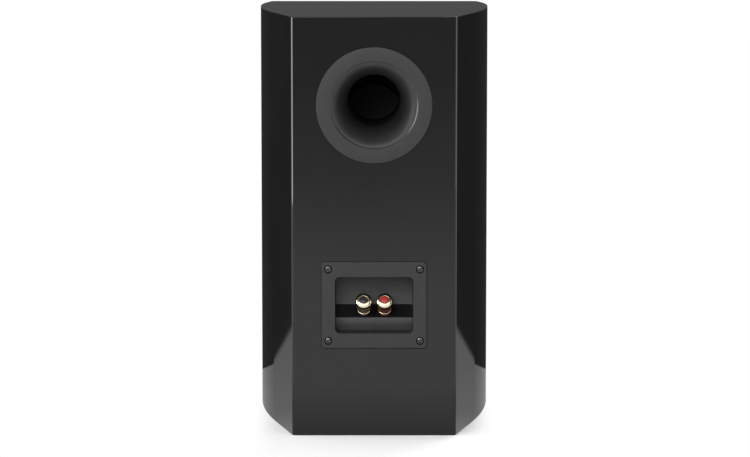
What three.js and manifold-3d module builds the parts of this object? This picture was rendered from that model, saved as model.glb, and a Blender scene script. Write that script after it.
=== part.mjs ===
// A two-way bookshelf loudspeaker: a curved cabinet with a cone woofer and a dome tweeter in front,
// a flared port and a recessed terminal cup with two screw terminals at the back.
// Millimetres, +Z up. The origin is at the middle of the footprint, on the surface it stands on.
// The front baffle faces -Y and the terminals face +Y.
import * as THREE from "three";
import { mergeVertices } from "three/addons/utils/BufferGeometryUtils.js";
import Module from "manifold-3d";

const wasm = await Module();
wasm.setup();

// ---------- Driving dimensions ----------

const gap = { seat: 0.3, slip: 0.4, bore: 1 }; // touching, sliding and loosely passing pieces

const cabinet = {
  height: 380,
  width: 216, // at the widest place of the curved sides
  depth: 270, // front face of the baffle to back face of the rear panel
  rearWidth: 149.5,
  widestFromRear: 200,
  straightFromRear: 76, // the sides run straight this far, then curve
  frontRadius: 300, // of the sides in front of their widest place
  edgeRadius: 3, // upright edges
  wall: 18,
  baffle: 25,
};
const brace = { thickness: 12, rim: 20 };
const foam = { thickness: 15, fromBaffle: 50, fromRear: 28 };

const woofer = {
  trimRadius: 80,
  trimProud: 3.5,
  trimLip: 4, // the part of the trim ring outside the flange
  trimCover: 6.5, // and inside the flange's edge
  flangeThickness: 4,
  recess: 3, // flange face below the baffle face
  flangeWidth: 11,
  basketWall: 2.5,
  legSpread: 19, // the basket's body to the shelf that the spider is glued to
  landingWidth: 7,
  landingHeight: 8, // that shelf above the top plate
  plateDepth: 46, // baffle face to the top plate
  legs: 6,
  windowWidth: 33,
  coneDepth: 21,
  coneThickness: 1,
  surroundSkin: 0.8,
  rollWidth: 10.9,
  rollHeight: 5.6,
  rollLap: 4, // how far the roll reaches over the flange
  capLap: 3.5, // how far the cap reaches past the cone's neck
  capHeight: 7,
  capSkin: 0.8,
  formerRadius: 16.3,
  formerWall: 0.6,
  windingWall: 1,
  windingOverhang: 3,
  airGap: 0.9,
  spiderSkin: 0.6,
  spiderWaves: 3,
  spiderWaveHeight: 1.8,
  plateThickness: 6,
  plateRadius: 42,
  magnetRadius: 46,
  magnetThickness: 15,
  magnetBore: 24,
  ventRadius: 5,
  screws: 4,
};
const tweeter = {
  fromWoofer: 10, // trim ring to the waveguide's edge
  flangeRadius: 52,
  flangeThickness: 4,
  proud: 0.5,
  mouthRadius: 43,
  throatRadius: 14.2,
  throatDepth: 12.5,
  bodyRadius: 36,
  bodyBehindDome: 0.6,
  domeRadius: 12.9,
  domeHeight: 4.2,
  domeDepth: 14.9,
  domeSkin: 0.4,
  surroundWidth: 5.4,
  rollWidth: 2.4,
  rollHeight: 1.2,
  coilWall: 0.5,
  coilLength: 5.8,
  airGap: 0.9,
  plateThickness: 3,
  plateRadius: 30,
  magnetRadius: 34,
  magnetThickness: 12,
  magnetBore: 18,
  ventRadius: 3,
  yokeThickness: 4,
  chamberRadius: 28,
  chamberLength: 24,
  chamberWall: 2,
};
const port = {
  fromTop: 27.2, // flange edge below the top of the cabinet
  flangeRadius: 52.2,
  flangeThickness: 3.5,
  proud: 1.5,
  lipRadius: 39.5, // step between the flat flange and the flare
  lipStep: 1.2,
  throatRadius: 24,
  throatDepth: 56,
  wall: 3,
  tubeLength: 66,
  innerMouthRadius: 36,
  innerFlareLength: 24,
  shoulder: 4, // from the throat to the end of the tube
  socket: 6, // how far the tube goes into each flare
};
const terminal = {
  height: 119.5, // centre of the plate above the floor
  plateWidth: 95,
  plateHeight: 78.8,
  plateThickness: 3,
  plateProud: 0.5,
  plateCorner: 3.5,
  windowWidth: 71,
  windowHeight: 51.8,
  windowCorner: 4.5,
  gasket: 1,
  shell: 3,
  lowerDepth: 19, // plate face to the lower back wall
  slantTop: -2.8, // upper edge of the slanted panel, from the plate's centre
  slantMargin: 0.45, // of that panel above and below the terminal collars
  screwInset: 6, // screw centre from the plate's side edge
  screwDrop: 6.8, // and from its upper or lower edge
};
const post = {
  spacing: 19, // standard distance between two banana plugs
  tilt: THREE.MathUtils.degToRad(34), // above the horizontal, square to the slanted panel
  studRadius: 3.5,
  studLength: 22,
  boreRadius: 2.2,
  boreDepth: 15,
  wireHoleRadius: 1.4,
  tailRadius: 2.5,
  tailLength: 15,
  collarRadius: 6.3,
  collarHeight: 3,
  spigotWall: 0.7,
  flangeRadius: 5.4,
  flangeThickness: 1,
  ringRadius: 6,
  ringThickness: 1.2,
  sleeveRadius: 6.3,
  capRadius: 7.1,
  capLength: 4,
  capDome: 2.5,
  nutLength: 17,
  plugHeadHeight: 1.6,
  plugLength: 12,
  hexAcrossFlats: 8,
  hexThickness: 3,
};
const screw = { headRadius: 3.4, headHeight: 1.8, sunk: 0.2, shankRadius: 1.9, length: 16 };

const board = { thickness: 1.6, standoff: 6, standoffRadius: 4, margin: 9, fromRear: 35 };
const wooferCoil = { radius: 22, bore: 9, height: 22 };
const tweeterCoil = { radius: 15, bore: 6, width: 14 };
const wooferCapacitor = { radius: 11, length: 40 };
const tweeterCapacitor = { radius: 9, length: 34 };
const resistor = { length: 22, width: 7, height: 8 };
const partSpacing = 5; // between two pieces on the board
const lead = { width: 5, height: 2.6 }; // flat twin lead

const facets = { large: 28, medium: 18, small: 12, screw: 8 };

// ---------- Places that follow from them ----------

const yBack = (cabinet.depth + woofer.trimProud - port.proud) / 2;
const yFront = yBack - cabinet.depth;
const yBaffleBack = yFront + cabinet.baffle;
const yRearInner = yBack - cabinet.wall;
const floorTop = cabinet.wall;
const ceiling = cabinet.height - cabinet.wall;
const reach = cabinet.width + cabinet.depth; // further out than any piece

// The two drivers stand one above the other, with as much baffle above them as below.
const driverStack = 2 * woofer.trimRadius + tweeter.fromWoofer + 2 * tweeter.flangeRadius;
const wooferZ = (cabinet.height - driverStack) / 2 + woofer.trimRadius;
const tweeterZ = wooferZ + woofer.trimRadius + tweeter.fromWoofer + tweeter.flangeRadius;
const portZ = Math.min(
  cabinet.height - port.fromTop - port.flangeRadius,
  ceiling - foam.thickness - port.innerMouthRadius - port.wall - gap.bore,
);
const braceZ = wooferZ + woofer.trimRadius;
const braceTop = braceZ + brace.thickness;

const wooferFlange = woofer.trimRadius - woofer.trimLip;
const wooferTrimInner = wooferFlange - woofer.trimCover;
const wooferBody = wooferFlange - woofer.flangeWidth;
const landingRadius = wooferBody - woofer.legSpread;
const coneRadius = wooferBody - woofer.basketWall + woofer.rollLap - woofer.rollWidth;
const formerOuter = woofer.formerRadius + woofer.formerWall;
const neckRadius = formerOuter + 2 * gap.seat;
const tweeterBodyDepth = tweeter.domeDepth + tweeter.bodyBehindDome;
const wooferScrewCircle = wooferFlange - screw.headRadius - gap.bore;
const postBore = post.studRadius + gap.seat;

const slantHeight = 2 * (post.collarRadius + terminal.slantMargin) * Math.cos(post.tilt);
const slantBottom = terminal.slantTop - slantHeight;
const upperDepth = terminal.lowerDepth + slantHeight * Math.tan(post.tilt);
const terminalFace = yBack + terminal.plateProud;
const postBase = {
  y: terminalFace - (terminal.lowerDepth + upperDepth) / 2,
  z: terminal.height + (terminal.slantTop + slantBottom) / 2,
};

// ---------- Solids ----------

// A closed three.js geometry as a manifold solid.
function solid(geometry) {
  const bare = new THREE.BufferGeometry();
  const flat = geometry.index ? geometry.toNonIndexed() : geometry;
  bare.setAttribute("position", flat.getAttribute("position"));
  const merged = mergeVertices(bare, 1e-4);
  const corners = merged.index.array;
  const kept = [];
  for (let i = 0; i < corners.length; i += 3) {
    const [a, b, c] = corners.slice(i, i + 3);
    if (a !== b && b !== c && c !== a) kept.push(a, b, c);
  }
  return new wasm.Manifold(
    new wasm.Mesh({
      numProp: 3,
      vertProperties: merged.attributes.position.array,
      triVerts: new Uint32Array(kept),
    }),
  );
}

function cut(body, ...tools) {
  return tools.reduce((left, tool) => left.subtract(tool), body);
}

function join(body, ...others) {
  return others.reduce((sum, other) => sum.add(other), body);
}

function box(x0, x1, y0, y1, z0, z1) {
  const block = new THREE.BoxGeometry(x1 - x0, y1 - y0, z1 - z0);
  block.translate((x0 + x1) / 2, (y0 + y1) / 2, (z0 + z1) / 2);
  return solid(block);
}

// An outline in X and Y, raised from z0 to z1.
function upright(outline, z0, z1) {
  const shape = new THREE.Shape(outline);
  const geometry = new THREE.ExtrudeGeometry(shape, { depth: z1 - z0, bevelEnabled: false });
  return solid(geometry.translate(0, 0, z0));
}

// An outline in X and Z, run from y0 to y1.
function alongY(outline, y0, y1) {
  const shape = new THREE.Shape(outline);
  const geometry = new THREE.ExtrudeGeometry(shape, { depth: y1 - y0, bevelEnabled: false });
  return solid(geometry.rotateX(Math.PI / 2).translate(0, y1, 0));
}

// An outline in Y and Z, run from x0 to x1.
function alongX(outline, x0, x1) {
  const shape = new THREE.Shape(outline);
  const geometry = new THREE.ExtrudeGeometry(shape, { depth: x1 - x0, bevelEnabled: false });
  return solid(geometry.rotateX(Math.PI / 2).rotateZ(Math.PI / 2).translate(x0, 0, 0));
}

// A profile of [radius, height] pairs, counter-clockwise, turned about the Y axis.
function turned(profile, sides) {
  const points = profile.map(([r, h]) => new THREE.Vector2(r, h));
  if (profile[0][0] > 0) points.push(points[0].clone());
  return solid(new THREE.LatheGeometry(points, sides));
}

function cylinder(radius, h0, h1, sides) {
  return turned([[0, h0], [radius, h0], [radius, h1], [0, h1]], sides);
}

function tube(inner, outer, h0, h1, sides) {
  return turned([[inner, h0], [outer, h0], [outer, h1], [inner, h1]], sides);
}

// Points on an ellipse between two angles, both ends included.
function ellipse(centreR, centreH, radiusR, radiusH, from, to, steps) {
  return Array.from({ length: steps + 1 }, (_, i) => {
    const a = from + ((to - from) * i) / steps;
    return [centreR + radiusR * Math.cos(a), centreH + radiusH * Math.sin(a)];
  });
}

function roundedRectangle(width, height, corner, centreZ = 0, steps = 4) {
  const quarter = Math.PI / 2;
  return [0, 1, 2, 3].flatMap((q) => {
    const sideX = q === 0 || q === 3 ? 1 : -1;
    const sideZ = q < 2 ? 1 : -1;
    const x = sideX * (width / 2 - corner);
    const z = centreZ + sideZ * (height / 2 - corner);
    return ellipse(x, z, corner, corner, q * quarter, (q + 1) * quarter, steps).map(
      ([px, pz]) => new THREE.Vector2(px, pz),
    );
  });
}

// ---------- The group ----------

const speaker = new THREE.Group();

const finishes = {
  lacquer: [0x0c0c0d, 0.06, 0],
  mdf: [0x8a6a48, 0.85, 0],
  mattePlastic: [0x2b2b2c, 0.55, 0],
  foam: [0x4a4a4d, 1, 0],
  rubber: [0x151515, 0.7, 0],
  cone: [0x3c3d40, 0.35, 1],
  castMetal: [0x232324, 0.6, 1],
  steel: [0xb8babd, 0.35, 1],
  ferrite: [0x2e2c2b, 0.7, 0],
  gold: [0xd9b36a, 0.18, 1],
  blackScrew: [0x141414, 0.35, 1],
  red: [0xa01418, 0.3, 0],
  black: [0x121212, 0.3, 0],
  spider: [0xc9a24a, 0.9, 0],
  copper: [0xb0653a, 0.35, 1],
  board: [0x1e4a2c, 0.6, 0],
  film: [0xc9c4b6, 0.4, 0],
  ceramic: [0xd8d4cc, 0.8, 0],
  leadJacket: [0x7d1518, 0.5, 0],
};

function add(name, body, finish, place = speaker) {
  const mesh = body.getMesh();
  const geometry = new THREE.BufferGeometry();
  geometry.setAttribute("position", new THREE.BufferAttribute(mesh.vertProperties, 3));
  geometry.setIndex(new THREE.BufferAttribute(mesh.triVerts, 1));
  const [color, roughness, metalness] = finishes[finish];
  const material = new THREE.MeshStandardMaterial({ color, roughness, metalness });
  const made = new THREE.Mesh(geometry, material);
  made.name = name;
  place.add(made);
}

// A group whose local +Y points out of the baffle, with its origin on the baffle face.
function driverPlace(z) {
  const place = new THREE.Group();
  place.position.set(0, yFront, z);
  place.rotation.x = Math.PI;
  speaker.add(place);
  return place;
}

// ---------- Cabinet ----------

// The side on +X in plan: straight from the rear corner, then an arc to the widest place, and a
// tighter one from there to the front.
const side = sideCurve();

function sideCurve() {
  const flare = (cabinet.width - cabinet.rearWidth) / 2;
  const curved = cabinet.widestFromRear - cabinet.straightFromRear;
  let halfTangent = 0;
  for (let i = 0; i < 40; i += 1) {
    const straight = (2 * cabinet.straightFromRear) / (1 - halfTangent ** 2);
    halfTangent = flare / (straight + curved);
  }
  const angle = 2 * Math.atan(halfTangent);
  const radius = curved / Math.sin(angle);
  return { angle, radius, y: yBack - cabinet.widestFromRear };
}

// A point of a side's arc at an angle from the widest place, for a surface set in by a distance.
function onSide(angle, inset) {
  const full = angle < 0 ? cabinet.frontRadius : side.radius;
  const x = cabinet.width / 2 - full + (full - inset) * Math.cos(angle);
  return [x, side.y + (full - inset) * Math.sin(angle)];
}

// The angle at which such a surface reaches a station.
function sideAngle(y, inset) {
  const full = y < side.y ? cabinet.frontRadius : side.radius;
  return Math.asin((y - side.y) / (full - inset));
}

// Half the width of the cabinet at a station, for a surface set in by a distance.
function halfWidth(y, inset) {
  if (y < side.y + (side.radius - inset) * Math.sin(side.angle)) {
    return onSide(sideAngle(y, inset), inset)[0];
  }
  return cabinet.rearWidth / 2 + (yBack - y) * Math.tan(side.angle) - inset / Math.cos(side.angle);
}

// The plan between two stations, set in by a distance, with its corners rounded.
const chord = 14; // longest straight piece of the curved sides

function plan(inset, y0, y1, edge = 0) {
  const frontAngle = sideAngle(y0 + edge, inset + edge);
  const turns = frontAngle < 0 ? [frontAngle, 0, side.angle] : [frontAngle, side.angle];
  const right = [onSide(frontAngle, inset)];
  turns.slice(1).forEach((to, i) => {
    const from = turns[i];
    const full = from < 0 ? cabinet.frontRadius : side.radius;
    const steps = Math.ceil(((to - from) * (full - inset)) / chord);
    for (let k = 1; k <= steps; k += 1) right.push(onSide(from + ((to - from) * k) / steps, inset));
  });
  right.push([halfWidth(y1, inset), y1]);
  if (edge) {
    const turn = Math.PI / 2;
    const front = [halfWidth(y0 + edge, inset + edge), y0 + edge];
    const rear = [halfWidth(y1 - edge, inset + edge), y1 - edge];
    right.unshift(...ellipse(...front, edge, edge, -turn, frontAngle, 3).slice(0, -1));
    right.splice(-1, 1, ...ellipse(...rear, edge, edge, side.angle, turn, 3));
  }
  const left = right.map(([x, y]) => [-x, y]).reverse();
  return [...right, ...left].map(([x, y]) => new THREE.Vector2(x, y));
}

function addCabinet() {
  const footprint = plan(0, yFront, yBack, cabinet.edgeRadius);
  add("top_panel", upright(footprint, ceiling, cabinet.height), "lacquer");
  add("bottom_panel", upright(footprint, 0, floorTop), "lacquer");
  const core = upright(footprint, floorTop, ceiling);
  const inside = upright(plan(cabinet.wall, yFront, yBack), floorTop - 1, ceiling + 1);
  const shell = core.subtract(inside);
  for (const [name, x0, x1] of [["left", 0, reach], ["right", -reach, 0]]) {
    const slab = box(x0, x1, yBaffleBack, yRearInner, 0, cabinet.height);
    add(`side_panel_${name}`, shell.intersect(slab), "lacquer");
  }
  const frontSlab = box(-reach, reach, yFront - 1, yBaffleBack, 0, cabinet.height);
  add("front_baffle", cut(core.intersect(frontSlab), ...baffleCuts()), "lacquer");
  const rearSlab = box(-reach, reach, yRearInner, yBack + 1, 0, cabinet.height);
  add("rear_panel", cut(core.intersect(rearSlab), ...rearCuts()), "lacquer");
}

function baffleCuts() {
  const wooferSeat = woofer.recess + woofer.flangeThickness + gap.seat;
  const tweeterSeat = tweeter.flangeThickness + gap.seat;
  const hole = (z, radius, depth) =>
    cylinder(radius, -1, depth, facets.large).translate([0, yFront, z]);
  const pilots = onCircle(woofer.screws, wooferScrewCircle).map(([x, z]) =>
    pilot().translate([x, yFront + woofer.recess, wooferZ + z]),
  );
  return [
    hole(wooferZ, wooferFlange + gap.slip, wooferSeat),
    hole(wooferZ, wooferBody + gap.bore, cabinet.baffle + 1),
    hole(tweeterZ, tweeter.flangeRadius + gap.slip, tweeterSeat),
    hole(tweeterZ, Math.max(tweeter.bodyRadius, tweeter.magnetRadius) + gap.bore, cabinet.baffle + 1),
    ...pilots,
  ];
}

function rearCuts() {
  const seat = terminal.plateThickness + terminal.gasket - terminal.plateProud + gap.seat;
  const body = terminal.shell + gap.slip;
  const flangeSeat = port.flangeThickness - port.proud + gap.seat;
  const around = (radius, depth) =>
    cylinder(radius, -depth, 1, facets.large).translate([0, yBack, portZ]);
  const pilots = terminalScrews().map(([x, z]) => pilot().translate([x, terminalFace, z]));
  return [
    alongY(terminalPlate(2 * gap.slip), yBack - seat, yBack + 1),
    alongY(terminalWindow(body), yRearInner - 1, yBack + 1),
    around(port.flangeRadius + gap.slip, flangeSeat),
    around(port.lipRadius + port.wall + gap.bore, cabinet.wall + 1),
    ...pilots,
  ];
}

// Places around a circle in X and Z, starting on a diagonal.
function onCircle(count, radius) {
  return Array.from({ length: count }, (_, i) => {
    const a = ((i + 0.5) * 2 * Math.PI) / count;
    return [radius * Math.cos(a), radius * Math.sin(a)];
  });
}

function addBrace() {
  const inset = cabinet.wall + gap.seat;
  const outline = plan(inset, yBaffleBack + gap.seat, yRearInner - gap.seat);
  const window = plan(inset + brace.rim, yBaffleBack + brace.rim, yRearInner - brace.rim);
  const opening = upright(window, braceZ - 1, braceTop + 1);
  add("shelf_brace", upright(outline, braceZ, braceTop).subtract(opening), "mdf");
}

// Lining glued inside both sides and the top of the upper chamber.
function addFoam() {
  const inset = cabinet.wall + gap.seat;
  const y0 = yBaffleBack + foam.fromBaffle;
  const y1 = yRearInner - foam.fromRear;
  const z0 = braceTop + gap.seat;
  const z1 = ceiling - gap.seat;
  const hollow = upright(plan(inset + foam.thickness, y0 - 1, y1 + 1), z0 - 1, z1 - foam.thickness);
  add("foam_lining", upright(plan(inset, y0, y1), z0, z1).subtract(hollow), "foam");
}

// ---------- Screws ----------

// A screw along -Y from the face that its head is sunk into, and the hole for it.
function screwBody() {
  const top = -screw.sunk;
  const under = top - screw.headHeight;
  return turned([
    [0, top - screw.length],
    [screw.shankRadius, top - screw.length + 2],
    [screw.shankRadius, under],
    [screw.headRadius, under],
    [screw.headRadius, top - 0.5],
    [screw.headRadius - 0.8, top],
    [0, top],
  ], facets.screw);
}

function screwHole() {
  const seat = -screw.sunk - screw.headHeight - gap.seat;
  return join(
    cylinder(screw.headRadius + gap.seat, seat, 1, facets.screw),
    cylinder(screw.shankRadius + gap.seat, -screw.length, 0, facets.screw),
  );
}

function pilot() {
  const reachY = screw.length + gap.bore;
  return cylinder(screw.shankRadius + gap.seat, -reachY, reachY, facets.screw);
}

// ---------- Port ----------

// Heights are along +Y from the rear panel's back face.
function addPort() {
  const place = new THREE.Group();
  place.position.set(0, yBack, portZ);
  speaker.add(place);

  const quarter = Math.PI / 2;
  const face = port.proud;
  const under = face - port.flangeThickness;
  const throat = -port.throatDepth;
  const end = throat - port.shoulder;
  const spread = port.lipRadius - port.throatRadius;
  const socketInner = port.throatRadius + port.wall + gap.seat;
  const socketOuter = socketInner + port.wall;
  const bodyRadius = port.lipRadius + port.wall;
  const flare = turned([
    [socketInner, end - port.socket],
    [socketOuter, end - port.socket],
    ...ellipse(bodyRadius, end, bodyRadius - socketOuter, under - end, 2 * quarter, quarter, 4),
    [port.flangeRadius, under],
    [port.flangeRadius, face],
    [port.lipRadius, face],
    ...ellipse(
      port.lipRadius, throat, spread, port.throatDepth + face - port.lipStep, quarter, 2 * quarter, 6,
    ),
    [port.throatRadius, end],
    [socketInner, end],
  ], facets.large);
  add("port_flare", flare, "mattePlastic", place);

  const tubeTop = end - gap.seat;
  const tubeEnd = tubeTop - port.tubeLength;
  const pipe = tube(
    port.throatRadius, port.throatRadius + port.wall, tubeEnd, tubeTop, facets.large,
  );
  add("port_tube", pipe, "mattePlastic", place);

  const shoulder = tubeEnd - gap.seat;
  const mouth = port.innerMouthRadius;
  const innerEnd = shoulder - port.innerFlareLength;
  const innerFlare = turned([
    [socketInner, shoulder + port.socket],
    [socketInner, shoulder],
    ...ellipse(
      mouth, shoulder, mouth - port.throatRadius, port.innerFlareLength,
      2 * quarter, 3 * quarter, 4,
    ),
    [mouth + port.wall, innerEnd],
    [mouth + port.wall, innerEnd + port.wall],
    [socketOuter, shoulder],
    [socketOuter, shoulder + port.socket],
  ], facets.large);
  add("port_inner_flare", innerFlare, "mattePlastic", place);
}

// ---------- Terminal cup ----------

function terminalPlate(extra) {
  const [width, height] = [terminal.plateWidth + extra, terminal.plateHeight + extra];
  return roundedRectangle(width, height, terminal.plateCorner, terminal.height);
}

function terminalWindow(margin) {
  const [width, height] = [terminal.windowWidth, terminal.windowHeight];
  const corner = terminal.windowCorner + margin;
  return roundedRectangle(width + 2 * margin, height + 2 * margin, corner, terminal.height);
}

function terminalScrews() {
  const x = terminal.plateWidth / 2 - terminal.screwInset;
  const z = terminal.plateHeight / 2 - terminal.screwDrop;
  return [[1, 1], [-1, 1], [-1, -1], [1, -1]].map(([sx, sz]) => [sx * x, terminal.height + sz * z]);
}

// The recess from the side: mouth, lower back wall, slanted panel, upper back wall and roof.
function recessSection(shell, mouth) {
  const reachZ = terminal.windowHeight / 2 + shell;
  return [
    [mouth, reachZ],
    [upperDepth + shell, reachZ],
    [upperDepth + shell, terminal.slantTop],
    [terminal.lowerDepth + shell, slantBottom],
    [terminal.lowerDepth + shell, -reachZ],
    [mouth, -reachZ],
  ].map(([depth, z]) => new THREE.Vector2(terminalFace - depth, terminal.height + z));
}

function addTerminalCup() {
  const plateBack = terminalFace - terminal.plateThickness;
  const deepest = terminalFace - upperDepth - terminal.shell - 1;
  const body = alongX(recessSection(terminal.shell, 1), -reach, reach)
    .intersect(alongY(terminalWindow(terminal.shell), deepest, terminalFace - 1));
  const hollow = alongX(recessSection(0, -1), -reach, reach)
    .intersect(alongY(terminalWindow(0), deepest, terminalFace + 1));
  const plate = alongY(terminalPlate(0), plateBack, terminalFace);
  const holes = terminalScrews().map(([x, z]) => screwHole().translate([x, terminalFace, z]));
  const postHoles = postPlaces().map(([, x]) =>
    cylinder(postBore + post.spigotWall + gap.seat, -2 * terminal.shell, terminal.shell, facets.small)
      .rotate([THREE.MathUtils.radToDeg(post.tilt), 0, 0])
      .translate([x, postBase.y, postBase.z]),
  );
  add("terminal_cup", cut(join(plate, body), hollow, ...holes, ...postHoles), "mattePlastic");

  const gasketFace = plateBack - gap.seat / 2;
  const gasketBack = gasketFace - terminal.gasket;
  const rim = alongY(terminalPlate(-1), gasketBack, gasketFace);
  const gasketWindow = alongY(terminalWindow(terminal.shell + gap.slip), gasketBack - 1, plateBack);
  const clearance = terminalScrews().map(([x, z]) => pilot().translate([x, terminalFace, z]));
  add("terminal_gasket", cut(rim, gasketWindow, ...clearance), "rubber");

  terminalScrews().forEach(([x, z], i) => {
    const place = new THREE.Group();
    place.position.set(x, terminalFace, z);
    speaker.add(place);
    add(`terminal_screw_${i + 1}`, screwBody(), "blackScrew", place);
  });
}

// ---------- Screw terminals ----------

// Seen from behind, the red one is on the right, at -X.
function postPlaces() {
  return [["black", post.spacing / 2], ["red", -post.spacing / 2]];
}

function addPosts() {
  const panel = terminal.shell * Math.cos(post.tilt); // thickness across the slanted panel
  const collarTop = gap.seat + post.collarHeight;
  const flange = collarTop + gap.seat;
  const flangeTop = flange + post.flangeThickness;
  const ringBase = flangeTop + gap.seat;
  const ringTop = ringBase + post.ringThickness;
  const nutBase = ringTop + gap.seat;
  const nutTop = nutBase + post.nutLength;
  const domeBase = nutTop - post.capDome;
  const headBase = post.studLength + gap.seat;
  const headTop = headBase + post.plugHeadHeight;
  const hexTop = -panel - gap.seat;

  for (const [colour, x] of postPlaces()) {
    const place = new THREE.Group();
    place.position.set(x, postBase.y, postBase.z);
    place.rotation.x = post.tilt;
    speaker.add(place);

    const collar = turned([
      [postBore, -panel],
      [postBore + post.spigotWall, -panel],
      [postBore + post.spigotWall, gap.seat],
      [post.collarRadius, gap.seat],
      [post.collarRadius, collarTop - 0.6],
      [post.collarRadius - 0.6, collarTop],
      [postBore, collarTop],
    ], facets.small);
    add(`post_collar_${colour}`, collar, colour, place);

    const stud = turned([
      [0, -post.tailLength],
      [post.tailRadius, -post.tailLength],
      [post.tailRadius, -panel],
      [post.studRadius, -panel],
      [post.studRadius, flange],
      [post.flangeRadius, flange],
      [post.flangeRadius, flangeTop],
      [post.studRadius, flangeTop],
      [post.studRadius, post.studLength],
      [post.boreRadius, post.studLength],
      [post.boreRadius, post.studLength - post.boreDepth],
      [0, post.studLength - post.boreDepth],
    ], facets.small);
    const wireHole = lying(post.wireHoleRadius, 3 * post.studRadius, facets.screw)
      .translate([0, nutBase + post.wireHoleRadius, 0]);
    add(`post_stud_${colour}`, stud.subtract(wireHole), "gold", place);

    const ring = tube(postBore, post.ringRadius, ringBase, ringTop, facets.small);
    add(`post_clamp_ring_${colour}`, ring, "gold", place);

    const nut = turned([
      [postBore, nutBase],
      [post.sleeveRadius, nutBase],
      [post.sleeveRadius, domeBase - post.capLength],
      [post.capRadius, domeBase - post.capLength],
      ...ellipse(postBore, domeBase, post.capRadius - postBore, post.capDome, 0, Math.PI / 2, 3),
    ], facets.medium);
    add(`post_nut_${colour}`, nut, "gold", place);

    const shank = post.boreRadius - gap.seat;
    const plug = turned([
      [0, headBase - post.plugLength],
      [shank, headBase - post.plugLength],
      [shank, headBase],
      [post.studRadius, headBase],
      [post.studRadius, headTop - 0.4],
      [post.studRadius - 0.4, headTop],
      [0, headTop],
    ], facets.small);
    add(`post_plug_${colour}`, plug, colour, place);

    const hexRadius = post.hexAcrossFlats / 2 / Math.cos(Math.PI / 6);
    const hexEnd = hexTop - post.hexThickness;
    const hexNut = cut(
      cylinder(hexRadius, hexEnd, hexTop, 6),
      cylinder(post.tailRadius + gap.seat, hexEnd - 1, hexTop + 1, facets.small),
    );
    add(`post_hex_nut_${colour}`, hexNut, "gold", place);
  }
}

// ---------- Woofer ----------

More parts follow.
